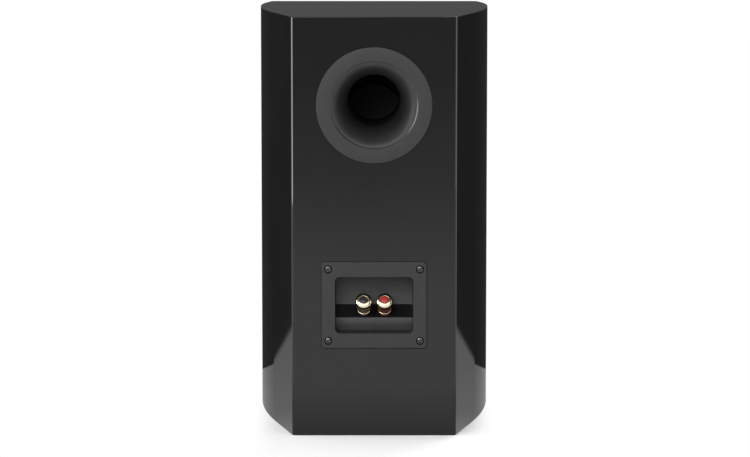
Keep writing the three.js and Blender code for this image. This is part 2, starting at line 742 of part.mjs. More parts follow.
// Heights are out of the baffle face, so what lies inside the cabinet is negative.
function addWoofer() {
  const w = woofer;
  const place = driverPlace(wooferZ);
  const face = -w.recess;
  const back = face - w.flangeThickness;
  const plateTop = -w.plateDepth;
  const landing = plateTop + w.landingHeight;
  const plateBottom = plateTop - w.plateThickness;
  const basketEnd = plateTop + gap.seat;
  const innerRadius = wooferBody - w.basketWall;

  const trim = turned([
    [wooferTrimInner, face + w.surroundSkin + gap.seat],
    [wooferFlange, face + w.surroundSkin + gap.seat],
    [wooferFlange, gap.seat],
    [w.trimRadius, gap.seat],
    [w.trimRadius, w.trimProud - 1.4],
    [w.trimRadius - 1.6, w.trimProud],
    [wooferTrimInner + 2.5, w.trimProud],
    [wooferTrimInner, w.trimProud - 2.7],
  ], facets.large);
  add("woofer_trim_ring", trim, "mattePlastic", place);

  const body = turned([
    [landingRadius - w.landingWidth, basketEnd],
    [landingRadius + w.basketWall, basketEnd],
    [landingRadius + w.basketWall, landing + 4],
    [wooferBody, back],
    [wooferFlange, back],
    [wooferFlange, face],
    [innerRadius, face],
    [innerRadius, face - 2],
    [landingRadius, landing + 4],
    [landingRadius, landing],
    [landingRadius - w.landingWidth, landing],
  ], facets.large);
  const windows = Array.from({ length: w.legs }, (_, i) =>
    box(
      landingRadius - w.landingWidth, w.trimRadius, landing + 6, back - 3,
      -w.windowWidth / 2, w.windowWidth / 2,
    ).rotate([0, (i * 360) / w.legs, 0]),
  );
  const screwPlaces = onCircle(w.screws, wooferScrewCircle);
  const holes = screwPlaces.map(([x, z]) => screwHole().translate([x, face, z]));
  add("woofer_basket", cut(body, ...windows, ...holes), "castMetal", place);

  screwPlaces.forEach(([x, z], i) => {
    const spot = new THREE.Group();
    spot.position.set(x, face, z);
    place.add(spot);
    add(`woofer_screw_${i + 1}`, screwBody(), "blackScrew", spot);
  });

  // The half roll lies between two flats, glued to the flange outside and to the cone inside.
  const skin = w.surroundSkin;
  const flat = face + gap.seat;
  const rollHalf = w.rollWidth / 2;
  const rollCentre = coneRadius + rollHalf;
  const outerRoll = ellipse(rollCentre, flat + skin, rollHalf, w.rollHeight - skin, 0, Math.PI, 6);
  const innerRoll = ellipse(rollCentre, flat, rollHalf - skin, w.rollHeight - skin, Math.PI, 0, 6);
  const surround = turned([
    [wooferTrimInner - gap.bore, flat],
    [wooferTrimInner - gap.bore, flat + skin],
    ...outerRoll,
    [coneRadius - 3, flat + skin],
    [coneRadius - 3, flat],
    ...innerRoll,
  ], facets.large);
  add("woofer_surround", surround, "rubber", place);

  const rim = face - gap.seat;
  const neck = rim - w.coneDepth;
  const cone = turned([
    [neckRadius, neck - w.coneThickness],
    [coneRadius, rim - w.coneThickness],
    [coneRadius, rim],
    [neckRadius, neck],
  ], facets.large);
  add("woofer_cone", cone, "cone", place);

  const slope = w.coneDepth / (coneRadius - neckRadius);
  const capRadius = neckRadius + w.capLap;
  const capBase = neck + w.capLap * slope + gap.seat;
  const cap = turned([
    ...dome(capRadius - w.capSkin, w.capHeight - w.capSkin, capBase, 5).reverse(),
    ...dome(capRadius, w.capHeight, capBase, 5),
  ], facets.medium);
  add("woofer_dust_cap", cap, "cone", place);

  const windingOuter = formerOuter + w.windingWall;
  const windingEnd = plateBottom - w.windingOverhang;
  const windingTop = plateTop + w.windingOverhang;
  const coil = turned([
    [w.formerRadius, windingEnd],
    [windingOuter, windingEnd],
    [windingOuter, windingTop],
    [formerOuter, windingTop],
    [formerOuter, neck + w.coneThickness],
    [w.formerRadius, neck + w.coneThickness],
  ], facets.medium);
  add("woofer_voice_coil", coil, "copper", place);

  const spiderFlat = landing + gap.seat;
  const spiderOuter = landingRadius - gap.slip;
  const spiderInner = formerOuter + gap.seat;
  const rollOff = 2 * w.spiderWaves;
  const waveStart = spiderInner + 1.5;
  const waveEnd = landingRadius - w.landingWidth;
  const wave = Array.from({ length: rollOff + 1 }, (_, i) => [
    waveStart + ((waveEnd - waveStart) * i) / rollOff,
    spiderFlat + (i % 2) * w.spiderWaveHeight,
  ]);
  const spider = turned([
    [spiderInner, spiderFlat],
    ...wave,
    [spiderOuter, spiderFlat],
    [spiderOuter, spiderFlat + w.spiderSkin],
    ...wave.map(([r, h]) => [r, h + w.spiderSkin]).reverse(),
    [spiderInner, spiderFlat + w.spiderSkin],
  ], facets.medium);
  add("woofer_spider", spider, "spider", place);

  const gapRadius = windingOuter + w.airGap;
  const topPlate = tube(gapRadius, w.plateRadius, plateBottom, plateTop, facets.medium);
  add("woofer_top_plate", topPlate, "steel", place);
  const magnetTop = plateBottom - gap.seat;
  const magnetBottom = magnetTop - w.magnetThickness;
  const magnet = tube(w.magnetBore, w.magnetRadius, magnetBottom, magnetTop, facets.medium);
  add("woofer_magnet", magnet, "ferrite", place);
  const pole = { radius: w.formerRadius - w.airGap, vent: w.ventRadius };
  const yoke = yokeBody(pole, w.plateRadius, w.plateThickness, magnetBottom - gap.seat, plateTop);
  add("woofer_pole_yoke", yoke, "steel", place);
}

// A spherical cap from its rim to its crown.
function dome(rim, height, base, steps) {
  const radius = (rim * rim + height * height) / (2 * height);
  const start = Math.asin((radius - height) / radius);
  const arc = ellipse(0, base + height - radius, radius, radius, start, Math.PI / 2, steps);
  return [...arc.slice(0, -1), [0, base + height]];
}

// A back plate with its centre pole, vented through the middle.
function yokeBody(pole, radius, thickness, top, poleTop) {
  return turned([
    [pole.vent, top - thickness],
    [radius, top - thickness],
    [radius, top],
    [pole.radius, top],
    [pole.radius, poleTop],
    [pole.vent, poleTop],
  ], facets.medium);
}

// ---------- Tweeter ----------

function addTweeter() {
  const t = tweeter;
  const place = driverPlace(tweeterZ);
  const back = -t.flangeThickness;
  const base = -t.domeDepth;
  const recessRadius = t.domeRadius + t.surroundWidth + gap.slip;
  const lipUnder = base + t.rollHeight + gap.seat;
  const throat = lipUnder + 0.8;
  const waveguide = turned([
    [recessRadius, -tweeterBodyDepth],
    [t.bodyRadius, -tweeterBodyDepth],
    [t.bodyRadius, back],
    [t.flangeRadius, back],
    [t.flangeRadius, t.proud - 0.5],
    [t.flangeRadius - 0.5, t.proud],
    ...ellipse(
      t.mouthRadius, throat, t.mouthRadius - t.throatRadius, t.proud - throat,
      Math.PI / 2, Math.PI, 6,
    ),
    [t.throatRadius, lipUnder],
    [recessRadius, lipUnder],
  ], facets.large);
  add("tweeter_waveguide", waveguide, "mattePlastic", place);

  const skin = t.domeSkin;
  const shell = turned([
    ...dome(t.domeRadius - skin, t.domeHeight - skin, base, 4).reverse(),
    ...dome(t.domeRadius, t.domeHeight, base, 4),
  ], facets.medium);
  add("tweeter_dome", shell, "cone", place);

  const rollInner = t.domeRadius + gap.seat;
  const rollCentre = rollInner + t.rollWidth / 2;
  const surround = turned([
    [rollInner, base - skin],
    ...ellipse(rollCentre, base - skin, t.rollWidth / 2 - skin, t.rollHeight - skin, Math.PI, 0, 4),
    [recessRadius - gap.slip, base - skin],
    [recessRadius - gap.slip, base],
    ...ellipse(rollCentre, base, t.rollWidth / 2, t.rollHeight, 0, Math.PI, 4),
  ], facets.medium);
  add("tweeter_surround", surround, "rubber", place);

  const coilInner = t.domeRadius - t.coilWall;
  const coilTop = base - gap.seat;
  const coil = tube(coilInner, t.domeRadius, coilTop - t.coilLength, coilTop, facets.medium);
  add("tweeter_voice_coil", coil, "copper", place);

  const plateTop = -tweeterBodyDepth - gap.seat;
  const plateBottom = plateTop - t.plateThickness;
  const gapRadius = t.domeRadius + t.airGap;
  const topPlate = tube(gapRadius, t.plateRadius, plateBottom, plateTop, facets.medium);
  add("tweeter_top_plate", topPlate, "steel", place);
  const magnetTop = plateBottom - gap.seat;
  const magnetBottom = magnetTop - t.magnetThickness;
  const magnet = tube(t.magnetBore, t.magnetRadius, magnetBottom, magnetTop, facets.medium);
  add("tweeter_magnet", magnet, "ferrite", place);
  const yokeTop = magnetBottom - gap.seat;
  const pole = { radius: coilInner - t.airGap, vent: t.ventRadius };
  const yoke = yokeBody(pole, t.plateRadius, t.yokeThickness, yokeTop, plateTop);
  add("tweeter_pole_yoke", yoke, "steel", place);

  const chamberTop = yokeTop - t.yokeThickness - gap.seat;
  const chamberBottom = chamberTop - t.chamberLength;
  const inner = t.chamberRadius - t.chamberWall;
  const chamber = turned([
    [0, chamberBottom],
    [t.chamberRadius, chamberBottom],
    [t.chamberRadius, chamberTop],
    [inner, chamberTop],
    [inner, chamberBottom + t.chamberWall],
    [0, chamberBottom + t.chamberWall],
  ], facets.medium);
  add("tweeter_rear_chamber", chamber, "mattePlastic", place);
}

// ---------- Crossover and leads ----------

// The board is as large as its parts need: coils along its front edge, capacitors along the back.
const boardWidth =
  2 * board.margin + partSpacing +
  Math.max(2 * wooferCoil.radius + tweeterCoil.width, wooferCapacitor.length + tweeterCapacitor.length);
const boardDepth =
  2 * (board.margin + partSpacing + wooferCapacitor.radius + wooferCoil.radius) + resistor.width;
const boardTop = floorTop + gap.seat + board.standoff + board.thickness;
const boardBack = Math.min(yBack - board.fromRear, wideEnough(boardWidth / 2 + partSpacing));
const boardFront = boardBack - boardDepth;

// The rearmost station where the inside of the cabinet has this half-width.
function wideEnough(half) {
  const inner = half + cabinet.wall / Math.cos(side.angle) - cabinet.rearWidth / 2;
  return yBack - inner / Math.tan(side.angle);
}

function addCrossover() {
  const under = boardTop - board.thickness;
  const sheet = box(-boardWidth / 2, boardWidth / 2, boardFront, boardBack, under, boardTop);
  const inset = board.standoffRadius + gap.bore;
  const feet = [[-1, boardFront + inset], [1, boardFront + inset], [-1, boardBack - inset],
    [1, boardBack - inset]].map(([sx, y]) =>
    standing(board.standoffRadius, board.standoff + 0.2, facets.screw)
      .translate([sx * (boardWidth / 2 - inset), y, under - board.standoff]),
  );
  add("crossover_board", join(sheet, ...feet), "board");

  const top = boardTop + gap.seat;
  const edge = boardWidth / 2 - board.margin;
  const front = boardFront + board.margin;
  const back = boardBack - board.margin;
  const bigCoil = standing(wooferCoil.radius, wooferCoil.height, facets.medium)
    .subtract(standing(wooferCoil.bore, 2 * wooferCoil.height, facets.medium).translate([0, 0, -1]));
  const bigCoilPlace = [wooferCoil.radius - edge, front + wooferCoil.radius, top];
  add("inductor_woofer", bigCoil.translate(bigCoilPlace), "copper");
  const smallCoil = lying(tweeterCoil.radius, tweeterCoil.width, facets.medium)
    .subtract(lying(tweeterCoil.bore, 2 * tweeterCoil.width, facets.medium));
  const smallCoilPlace = [
    edge - tweeterCoil.width / 2, front + tweeterCoil.radius, top + tweeterCoil.radius,
  ];
  add("inductor_tweeter", smallCoil.translate(smallCoilPlace), "copper");
  for (const [name, size, sx] of [
    ["capacitor_woofer", wooferCapacitor, -1],
    ["capacitor_tweeter", tweeterCapacitor, 1],
  ]) {
    const place = [sx * (edge - size.length / 2), back - size.radius, top + size.radius];
    add(name, lying(size.radius, size.length, facets.small).translate(place), "film");
  }
  const y = front + 2 * wooferCoil.radius + partSpacing;
  add(
    "resistor",
    box(-resistor.length / 2, resistor.length / 2, y, y + resistor.width, top, top + resistor.height),
    "ceramic",
  );
}

// A cylinder on its end, and one lying along X, centred.
function standing(radius, height, sides) {
  return cylinder(radius, 0, height, sides).rotate([90, 0, 0]);
}

function lying(radius, length, sides) {
  return cylinder(radius, -length / 2, length / 2, sides).rotate([0, 0, 90]);
}

// Twin lead along hand-placed points.
function twinLead(points) {
  const curve = new THREE.CatmullRomCurve3(points.map((p) => new THREE.Vector3(...p)));
  const [w, h] = [lead.width / 2, lead.height / 2];
  const section = [
    [w, 0], [w - 0.6, h], [0, h * 0.8], [0.6 - w, h], [-w, 0], [0.6 - w, -h], [0, -h * 0.8], [w - 0.6, -h],
  ].map(([x, y]) => new THREE.Vector2(x, y));
  const shape = new THREE.Shape(section);
  return solid(new THREE.ExtrudeGeometry(shape, { steps: 14, extrudePath: curve }));
}

function addLeads() {
  const tailY = postBase.y - post.tailLength * Math.cos(post.tilt);
  const tailZ = postBase.z - post.tailLength * Math.sin(post.tilt);
  const wooferBack = yFront + woofer.plateDepth;
  const tweeterBack = yFront + tweeterBodyDepth + tweeter.magnetThickness;
  const besideMagnet = woofer.magnetRadius + 9;
  const windowEdge = halfWidth(boardFront - 20, cabinet.wall + gap.seat + brace.rim);
  const throughBrace = Math.min(besideMagnet - 1, windowEdge - lead.width);
  const leads = {
    lead_input: [
      [0, tailY - 3, tailZ - 4],
      [0, tailY - 8, tailZ - 18],
      [0, boardBack - board.margin / 2 + 2, boardTop + 30],
      [0, boardBack - board.margin / 2, boardTop + 2],
    ],
    lead_woofer: [
      [-8, boardFront + board.margin / 2, boardTop + 2],
      [-12, boardFront - 4, boardTop + 18],
      [-36, boardFront - 26, boardTop + 36],
      [1 - besideMagnet, wooferBack + 14, wooferZ - 22],
      [-besideMagnet, wooferBack + 2, wooferZ - 8],
    ],
    lead_tweeter: [
      [8, boardFront + board.margin / 2, boardTop + 2],
      [18, boardFront - 2, boardTop + 24],
      [besideMagnet - 1, boardFront - 16, wooferZ + 6],
      [throughBrace, boardFront - 20, braceZ],
      [Math.min(46, throughBrace), tweeterBack + 40, tweeterZ - 30],
      [38, tweeterBack + 8, tweeterZ - 14],
    ],
  };
  for (const [name, points] of Object.entries(leads)) {
    add(name, twinLead(points), "leadJacket");
  }
}

addCabinet();
addBrace();
addFoam();
addPort();
addTerminalCup();
addPosts();
addWoofer();
addTweeter();
addCrossover();
addLeads();

export default speaker;
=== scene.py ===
import math

import bmesh
import bpy
from mathutils import Matrix, Vector


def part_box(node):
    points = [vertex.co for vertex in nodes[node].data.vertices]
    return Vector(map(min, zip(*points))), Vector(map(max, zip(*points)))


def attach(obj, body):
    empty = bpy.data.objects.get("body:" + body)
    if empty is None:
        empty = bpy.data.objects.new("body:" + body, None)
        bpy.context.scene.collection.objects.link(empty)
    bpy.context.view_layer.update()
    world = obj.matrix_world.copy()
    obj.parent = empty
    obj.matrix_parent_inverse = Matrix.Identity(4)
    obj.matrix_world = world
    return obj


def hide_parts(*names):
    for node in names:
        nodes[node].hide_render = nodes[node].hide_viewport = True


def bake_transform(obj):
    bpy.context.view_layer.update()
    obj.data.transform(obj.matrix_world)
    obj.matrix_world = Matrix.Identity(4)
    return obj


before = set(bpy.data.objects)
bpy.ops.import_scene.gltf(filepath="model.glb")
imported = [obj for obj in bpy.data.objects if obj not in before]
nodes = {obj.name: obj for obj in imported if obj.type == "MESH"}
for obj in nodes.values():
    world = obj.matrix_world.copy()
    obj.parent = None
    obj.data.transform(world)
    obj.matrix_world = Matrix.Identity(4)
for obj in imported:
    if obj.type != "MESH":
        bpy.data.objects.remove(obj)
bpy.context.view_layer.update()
scene = bpy.context.scene
mm = 0.001
print("frame loaded:", len(nodes), "nodes")

# Camera, first of all

cameraSettings = {
    "place": (-0.0008, 3.0, 0.5439),
    "lookDown": 7.057,  # degrees
    "lens": 153.75,
    "sensor": 36,
}


def makeCamera(settings):
    data = bpy.data.cameras.new("camera")
    data.lens = settings["lens"]
    data.sensor_width = settings["sensor"]
    data.clip_end = 60
    camera = bpy.data.objects.new("camera", data)
    camera.location = settings["place"]
    camera.rotation_euler = (math.radians(90 - settings["lookDown"]), 0, math.pi)
    scene.collection.objects.link(camera)
    scene.camera = camera


makeCamera(cameraSettings)
scene.view_settings.view_transform = "Standard"
print("camera placed")

# Shader helpers: a Wire is a socket that does maths, a Finish is a material being wired


class Wire:
    def __init__(self, finish, socket):
        self.finish = finish
        self.socket = socket

    def maths(self, operation, *values):
        return self.finish.node("ShaderNodeMath", {"operation": operation}, values)

    def __add__(self, other):
        return self.maths("ADD", self, other)

    def __radd__(self, other):
        return self.maths("ADD", other, self)

    def __sub__(self, other):
        return self.maths("SUBTRACT", self, other)

    def __rsub__(self, other):
        return self.maths("SUBTRACT", other, self)

    def __mul__(self, other):
        return self.maths("MULTIPLY", self, other)

    def __rmul__(self, other):
        return self.maths("MULTIPLY", other, self)

    def __truediv__(self, other):
        return self.maths("DIVIDE", self, other)

    def __pow__(self, other):
        return self.maths("POWER", self, other)

    def wave(self):
        return self.maths("SINE", self)

    def size(self):
        return self.maths("ABSOLUTE", self)

    def part(self, name):
        return Wire(self.finish, self.socket.node.outputs[name])

    def ramp(self, stops, output="Color"):
        return self.finish.node("ShaderNodeValToRGB", {"stops": stops}, {"Fac": self}, output)


class Finish:
    def __init__(self, name):
        self.material = bpy.data.materials.new(name)
        self.material.use_nodes = True
        self.tree = self.material.node_tree
        self.shader = self.tree.nodes["Principled BSDF"]
        self.output = self.tree.nodes["Material Output"]

    def node(self, kind, settings=None, values=(), output=0):
        made = self.tree.nodes.new(kind)
        for key, value in (settings or {}).items():
            if key == "stops":
                self.setStops(made.color_ramp, value)
            else:
                setattr(made, key, value)
        pairs = values.items() if isinstance(values, dict) else enumerate(values)
        for key, value in pairs:
            self.feed(made.inputs[key], value)
        return Wire(self, made.outputs[output])

    def feed(self, socket, value):
        if isinstance(value, Wire):
            self.tree.links.new(value.socket, socket)
        else:
            socket.default_value = value

    def setStops(self, ramp, stops):
        while len(ramp.elements) < len(stops):
            ramp.elements.new(1)
        for element, (place, colour) in zip(ramp.elements, stops):
            element.position = place
            element.color = grey(colour) if isinstance(colour, (int, float)) else colour

    def put(self, **values):
        for key, value in values.items():
            self.feed(self.shader.inputs[key.replace("_", " ")], value)

    def place(self, scale=(1, 1, 1), turn=(0, 0, 0), origin=(0, 0, 0)):
        where = self.node("ShaderNodeTexCoord", output="Object")
        values = {"Vector": where, "Scale": scale, "Rotation": turn, "Location": origin}
        return self.node("ShaderNodeMapping", {"vector_type": "TEXTURE"}, values) if (
            turn != (0, 0, 0) or origin != (0, 0, 0) or scale != (1, 1, 1)
        ) else where

    def noise(self, scale, detail=2, roughness=0.5, where=None, distortion=0):
        values = {
            "Vector": where or self.place(), "Scale": scale, "Detail": detail,
            "Roughness": roughness, "Distortion": distortion,
        }
        return self.node("ShaderNodeTexNoise", {}, values, "Fac")

    def fade(self, value, limits):
        values = {"Value": value, "From Min": limits[0], "From Max": limits[1]}
        return self.node("ShaderNodeMapRange", {"interpolation_type": "SMOOTHSTEP"}, values)

    def blendColour(self, factor, first, second):
        values = {0: factor, 6: first, 7: second}
        return self.node("ShaderNodeMix", {"data_type": "RGBA"}, values, 2)

    def bump(self, height, distance, strength=1.0):
        values = {"Height": height, "Distance": distance, "Strength": strength}
        self.put(Normal=self.node("ShaderNodeBump", {}, values))


def grey(value):
    return (value, value, value, 1)


# A finish of two close colours in patches, with a fine grain and an uneven sheen.
# Scales are per metre and depths in metres.
def plainFinish(name, look):
    finish = Finish(name)
    patches = finish.noise(look["patchScale"], 3, 0.6)
    grain = finish.noise(look["grainScale"], look.get("grainDetail", 2), 0.6)
    tone = patches.ramp([(0.3, (*look["dark"], 1)), (0.7, (*look["light"], 1))])
    sheen = (patches - 0.5) * look["uneven"] + (grain - 0.5) * look["uneven"]
    finish.put(
        Base_Color=tone,
        Metallic=look.get("metallic", 0),
        Roughness=look["roughness"] + sheen,
    )
    finish.bump(grain, look["grainDepth"])
    finish.put(**look.get("more", {}))
    return finish


looks = {
    "moldedBlack": {
        "dark": (0.015, 0.015, 0.0153), "light": (0.019, 0.019, 0.0194),
        "roughness": 0.52, "uneven": 0.1,
        "patchScale": 60, "grainScale": 2600, "grainDepth": 0.00003,
        "more": {"Specular_IOR_Level": 0.4},
    },
    # Painted shade: a darker, less glossy copy of the molded black for the port tube and inner
    # flare, standing in for the shade deep inside the port.
    "tubePaintedShade": {
        "dark": (0.009, 0.009, 0.0092), "light": (0.012, 0.012, 0.0122),
        "roughness": 0.6, "uneven": 0.1,
        "patchScale": 60, "grainScale": 2600, "grainDepth": 0.00003,
        "more": {"Specular_IOR_Level": 0.3},
    },
    "lipBlack": {
        "dark": (0.015, 0.015, 0.0153), "light": (0.019, 0.019, 0.0194),
        "roughness": 0.28, "uneven": 0.06,
        "patchScale": 60, "grainScale": 2600, "grainDepth": 0.000006,
    },
    "cupBlack": {
        "dark": (0.008, 0.008, 0.0082), "light": (0.011, 0.011, 0.0113),
        "roughness": 0.47, "uneven": 0.08,
        "patchScale": 60, "grainScale": 2600, "grainDepth": 0.00003,
    },
    # Painted shade: a darker, almost unreflective copy of the cup's black for the slanted terminal
    # panel, standing in for the shade under the recess's top edge.
    "slantPaintedShade": {
        "dark": (0.003, 0.003, 0.0032), "light": (0.0045, 0.0045, 0.0047),
        "roughness": 0.5, "uneven": 0.06,
        "patchScale": 60, "grainScale": 2600, "grainDepth": 0.00002,
        "more": {"Specular_IOR_Level": 0.04},
    },
    "foam": {
        "dark": (0.02, 0.02, 0.022), "light": (0.06, 0.06, 0.064),
        "roughness": 0.95, "uneven": 0.04,
        "patchScale": 300, "grainScale": 900, "grainDepth": 0.0012, "grainDetail": 5,
    },
    "rubber": {
        "dark": (0.008, 0.008, 0.008), "light": (0.013, 0.013, 0.013),
        "roughness": 0.55, "uneven": 0.12,
        "patchScale": 120, "grainScale": 3000, "grainDepth": 0.00002,
    },
    "castFrame": {
        "dark": (0.03, 0.03, 0.032), "light": (0.05, 0.05, 0.052),
        "roughness": 0.5, "uneven": 0.12,
        "patchScale": 90, "grainScale": 1400, "grainDepth": 0.00012, "metallic": 0.3,
    },
    "platedSteel": {
        "dark": (0.45, 0.44, 0.41), "light": (0.62, 0.61, 0.58),
        "roughness": 0.32, "uneven": 0.16,
        "patchScale": 80, "grainScale": 900, "grainDepth": 0.00004, "metallic": 1,
    },
    # Painted shade: near-black for the tweeter's top plate, pole yoke and rear chamber, standing in
    # for the shade they sit in when seen through the port.
    "tweeterPaintedShade": {
        "dark": (0.006, 0.006, 0.006), "light": (0.012, 0.012, 0.012),
        "roughness": 0.6, "uneven": 0.12,
        "patchScale": 120, "grainScale": 900, "grainDepth": 0.00004,
    },
    "ferrite": {
        "dark": (0.022, 0.021, 0.02), "light": (0.045, 0.042, 0.04),
        "roughness": 0.7, "uneven": 0.12,
        "patchScale": 150, "grainScale": 1800, "grainDepth": 0.00012,
    },
    "goldPlate": {
        "dark": (0.92, 0.79, 0.52), "light": (0.96, 0.85, 0.6),
        "roughness": 0.1, "uneven": 0.06,
        "patchScale": 200, "grainScale": 2400, "grainDepth": 0.000008, "metallic": 1,
    },
    "blackScrew": {
        "dark": (0.08, 0.08, 0.083), "light": (0.13, 0.13, 0.134),
        "roughness": 0.1, "uneven": 0.06,
        "patchScale": 500, "grainScale": 2500, "grainDepth": 0.000004, "metallic": 1,
    },
    "redInsulator": {
        "dark": (0.26, 0.006, 0.005), "light": (0.36, 0.01, 0.008),
        "roughness": 0.36, "uneven": 0.1,
        "patchScale": 300, "grainScale": 2500, "grainDepth": 0.00002,
    },
    "redCollar": {
        "dark": (0.05, 0.006, 0.005), "light": (0.07, 0.009, 0.008),
        "roughness": 0.4, "uneven": 0.1,
        "patchScale": 300, "grainScale": 2500, "grainDepth": 0.00002,
    },
    "blackInsulator": {
        "dark": (0.008, 0.008, 0.008), "light": (0.014, 0.014, 0.014),
        "roughness": 0.32, "uneven": 0.1,
        "patchScale": 300, "grainScale": 2500, "grainDepth": 0.00002,
    },
    "redSleeve": {
        "dark": (0.3, 0.1, 0.06), "light": (0.42, 0.15, 0.09),
        "roughness": 0.2, "uneven": 0.08,
        "patchScale": 300, "grainScale": 2500, "grainDepth": 0.00002,
        "more": {"Transmission_Weight": 0.75, "IOR": 1.49},
    },
    "smokeSleeve": {
        "dark": (0.3, 0.26, 0.17), "light": (0.4, 0.34, 0.22),
        "roughness": 0.2, "uneven": 0.08,
        "patchScale": 300, "grainScale": 2500, "grainDepth": 0.00002,
        "more": {"Transmission_Weight": 0.75, "IOR": 1.49},
    },
    "filmCapacitor": {
        "dark": (0.5, 0.47, 0.4), "light": (0.6, 0.57, 0.5),
        "roughness": 0.38, "uneven": 0.1,
        "patchScale": 90, "grainScale": 900, "grainDepth": 0.00004,
    },
    "ceramic": {
        "dark": (0.55, 0.53, 0.49), "light": (0.68, 0.66, 0.62),
        "roughness": 0.8, "uneven": 0.1,
        "patchScale": 200, "grainScale": 1600, "grainDepth": 0.0001,
    },
    "leadJacket": {
        "dark": (0.16, 0.008, 0.01), "light": (0.24, 0.014, 0.015),
        "roughness": 0.42, "uneven": 0.12,
        "patchScale": 90, "grainScale": 1500, "grainDepth": 0.00004,
    },
}
finishes = {name: plainFinish(name, look) for name, look in looks.items()}


# Black piano lacquer: nearly black, mirror smooth, with a slight orange peel and faint polish haze.
def makeLacquer():
    finish = Finish("lacquer")
    haze = finish.noise(9, 4, 0.55)
    peel = finish.noise(420, 1, 0.4)
    deep, hazy = (0.0026, 0.0026, 0.0028, 1), (0.0038, 0.0038, 0.004, 1)
    finish.put(
        Base_Color=haze.ramp([(0.35, deep), (0.7, hazy)]),
        Roughness=0.02 + haze * 0.03,
        IOR=1.5,
    )
    finish.bump(peel, 0.0000012)
    return finish


# Fibreboard inside the cabinet, darkened towards black as painted shade, so the inside seen through
# the port stays dark.
def makeFibreboard():
    finish = Finish("fibreboard")
    fibres = finish.noise(900, 5, 0.7, finish.place(scale=(1, 1, 0.25)))
    patches = finish.noise(25, 3)
    tone = finish.blendColour(fibres, (0.03, 0.022, 0.015, 1), (0.07, 0.052, 0.036, 1))
    finish.put(
        Base_Color=finish.blendColour(patches * 0.4, tone, (0.045, 0.033, 0.023, 1)),
        Roughness=0.85 + (fibres - 0.5) * 0.1,
    )
    finish.bump(fibres, 0.00015)
    return finish


# Spun metal: fine rings around the driver's axis, drawn with the distance from it.
def makeSpunMetal(name, centreHeight, ringsPerMetre, dark, light, roughness):
    finish = Finish(name)
    where = finish.place(origin=(0, 0, centreHeight))
    apart = finish.node("ShaderNodeSeparateXYZ", {}, (where,))
    radius = (apart.part("X") ** 2 + apart.part("Z") ** 2) ** 0.5
    wobble = finish.noise(40, 2)
    rings = (radius * ringsPerMetre * math.tau + wobble * 3).wave() * 0.5 + 0.5
    fine = finish.noise(1800, 2)
    finish.put(
        Base_Color=finish.blendColour(rings * 0.5 + fine * 0.3, (*dark, 1), (*light, 1)),
        Metallic=1.0,
        Roughness=roughness + (fine - 0.5) * 0.12,
    )
    finish.bump(rings * 0.5 + fine * 0.5, 0.00002)
    return finish


# Woven cloth for the spider: threads across and along, soaked in resin.
def makeSpiderCloth():
    finish = Finish("spiderCloth")
    where = finish.node("ShaderNodeSeparateXYZ", {}, (finish.place(),))
    across = (where.part("X") * 9000).wave()
    along = (where.part("Z") * 9000).wave()
    threads = (across * along) * 0.5 + 0.5
    fuzz = finish.noise(2500, 3)
    weave = threads * 0.7 + fuzz * 0.3
    finish.put(
        Base_Color=finish.blendColour(weave, (0.3, 0.17, 0.05, 1), (0.55, 0.36, 0.14, 1)),
        Roughness=0.75 + (fuzz - 0.5) * 0.2,
    )
    finish.bump(weave, 0.00015)
    return finish


# Enamelled wire in close turns.
def makeWinding():
    finish = Finish("copperWire")
    where = finish.node("ShaderNodeSeparateXYZ", {}, (finish.place(),))
    turns = (where.part("Y") * 9000).wave() * (where.part("Z") * 9000).wave()
    tarnish = finish.noise(120, 3)
    finish.put(
        Base_Color=finish.blendColour(tarnish, (0.55, 0.2, 0.08, 1), (0.78, 0.36, 0.16, 1)),
        Metallic=1.0,
        Roughness=0.3 + (tarnish - 0.5) * 0.2,
    )
    finish.bump(turns * 0.5 + 0.5, 0.0001)
    return finish


# Green solder mask over tracks.
def makeBoard():
    finish = Finish("circuitBoard")
    where = finish.node("ShaderNodeTexBrick", {}, {
        "Vector": finish.place(), "Scale": 90, "Mortar Size": 0.012,
        "Color1": (1, 1, 1, 1), "Color2": (0.8, 0.8, 0.8, 1), "Mortar": (0, 0, 0, 1),
    }, "Fac")
    cloth = finish.noise(1500, 2)
    finish.put(
        Base_Color=finish.blendColour(where, (0.012, 0.09, 0.03, 1), (0.03, 0.18, 0.06, 1)),
        Roughness=0.38 + (cloth - 0.5) * 0.15,
    )
    finish.bump(where * 0.8 + cloth * 0.2, 0.00004)
    return finish


def middle(node):
    low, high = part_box(node)
    return (low + high) / 2


wooferHeight = middle("woofer_trim_ring").z
tweeterHeight = middle("tweeter_waveguide").z
finishes["lacquer"] = makeLacquer()
finishes["fibreboard"] = makeFibreboard()
finishes["coneMetal"] = makeSpunMetal(
    "coneMetal", wooferHeight, 1400, (0.1, 0.1, 0.105), (0.17, 0.17, 0.175), 0.34,
)
finishes["domeMetal"] = makeSpunMetal(
    "domeMetal", tweeterHeight, 2500, (0.5, 0.5, 0.51), (0.62, 0.62, 0.63), 0.24,
)
finishes["spiderCloth"] = makeSpiderCloth()
finishes["copperWire"] = makeWinding()
finishes["circuitBoard"] = makeBoard()
print("finishes made:", len(finishes))

# Mesh helpers. Sizes are in millimetres until a piece is finished.


def arc(centreX, centreY, radiusX, radiusY, start, end, steps):
    turns = [math.radians(start + (end - start) * i / steps) for i in range(steps + 1)]
    return [(centreX + radiusX * math.cos(a), centreY + radiusY * math.sin(a)) for a in turns]


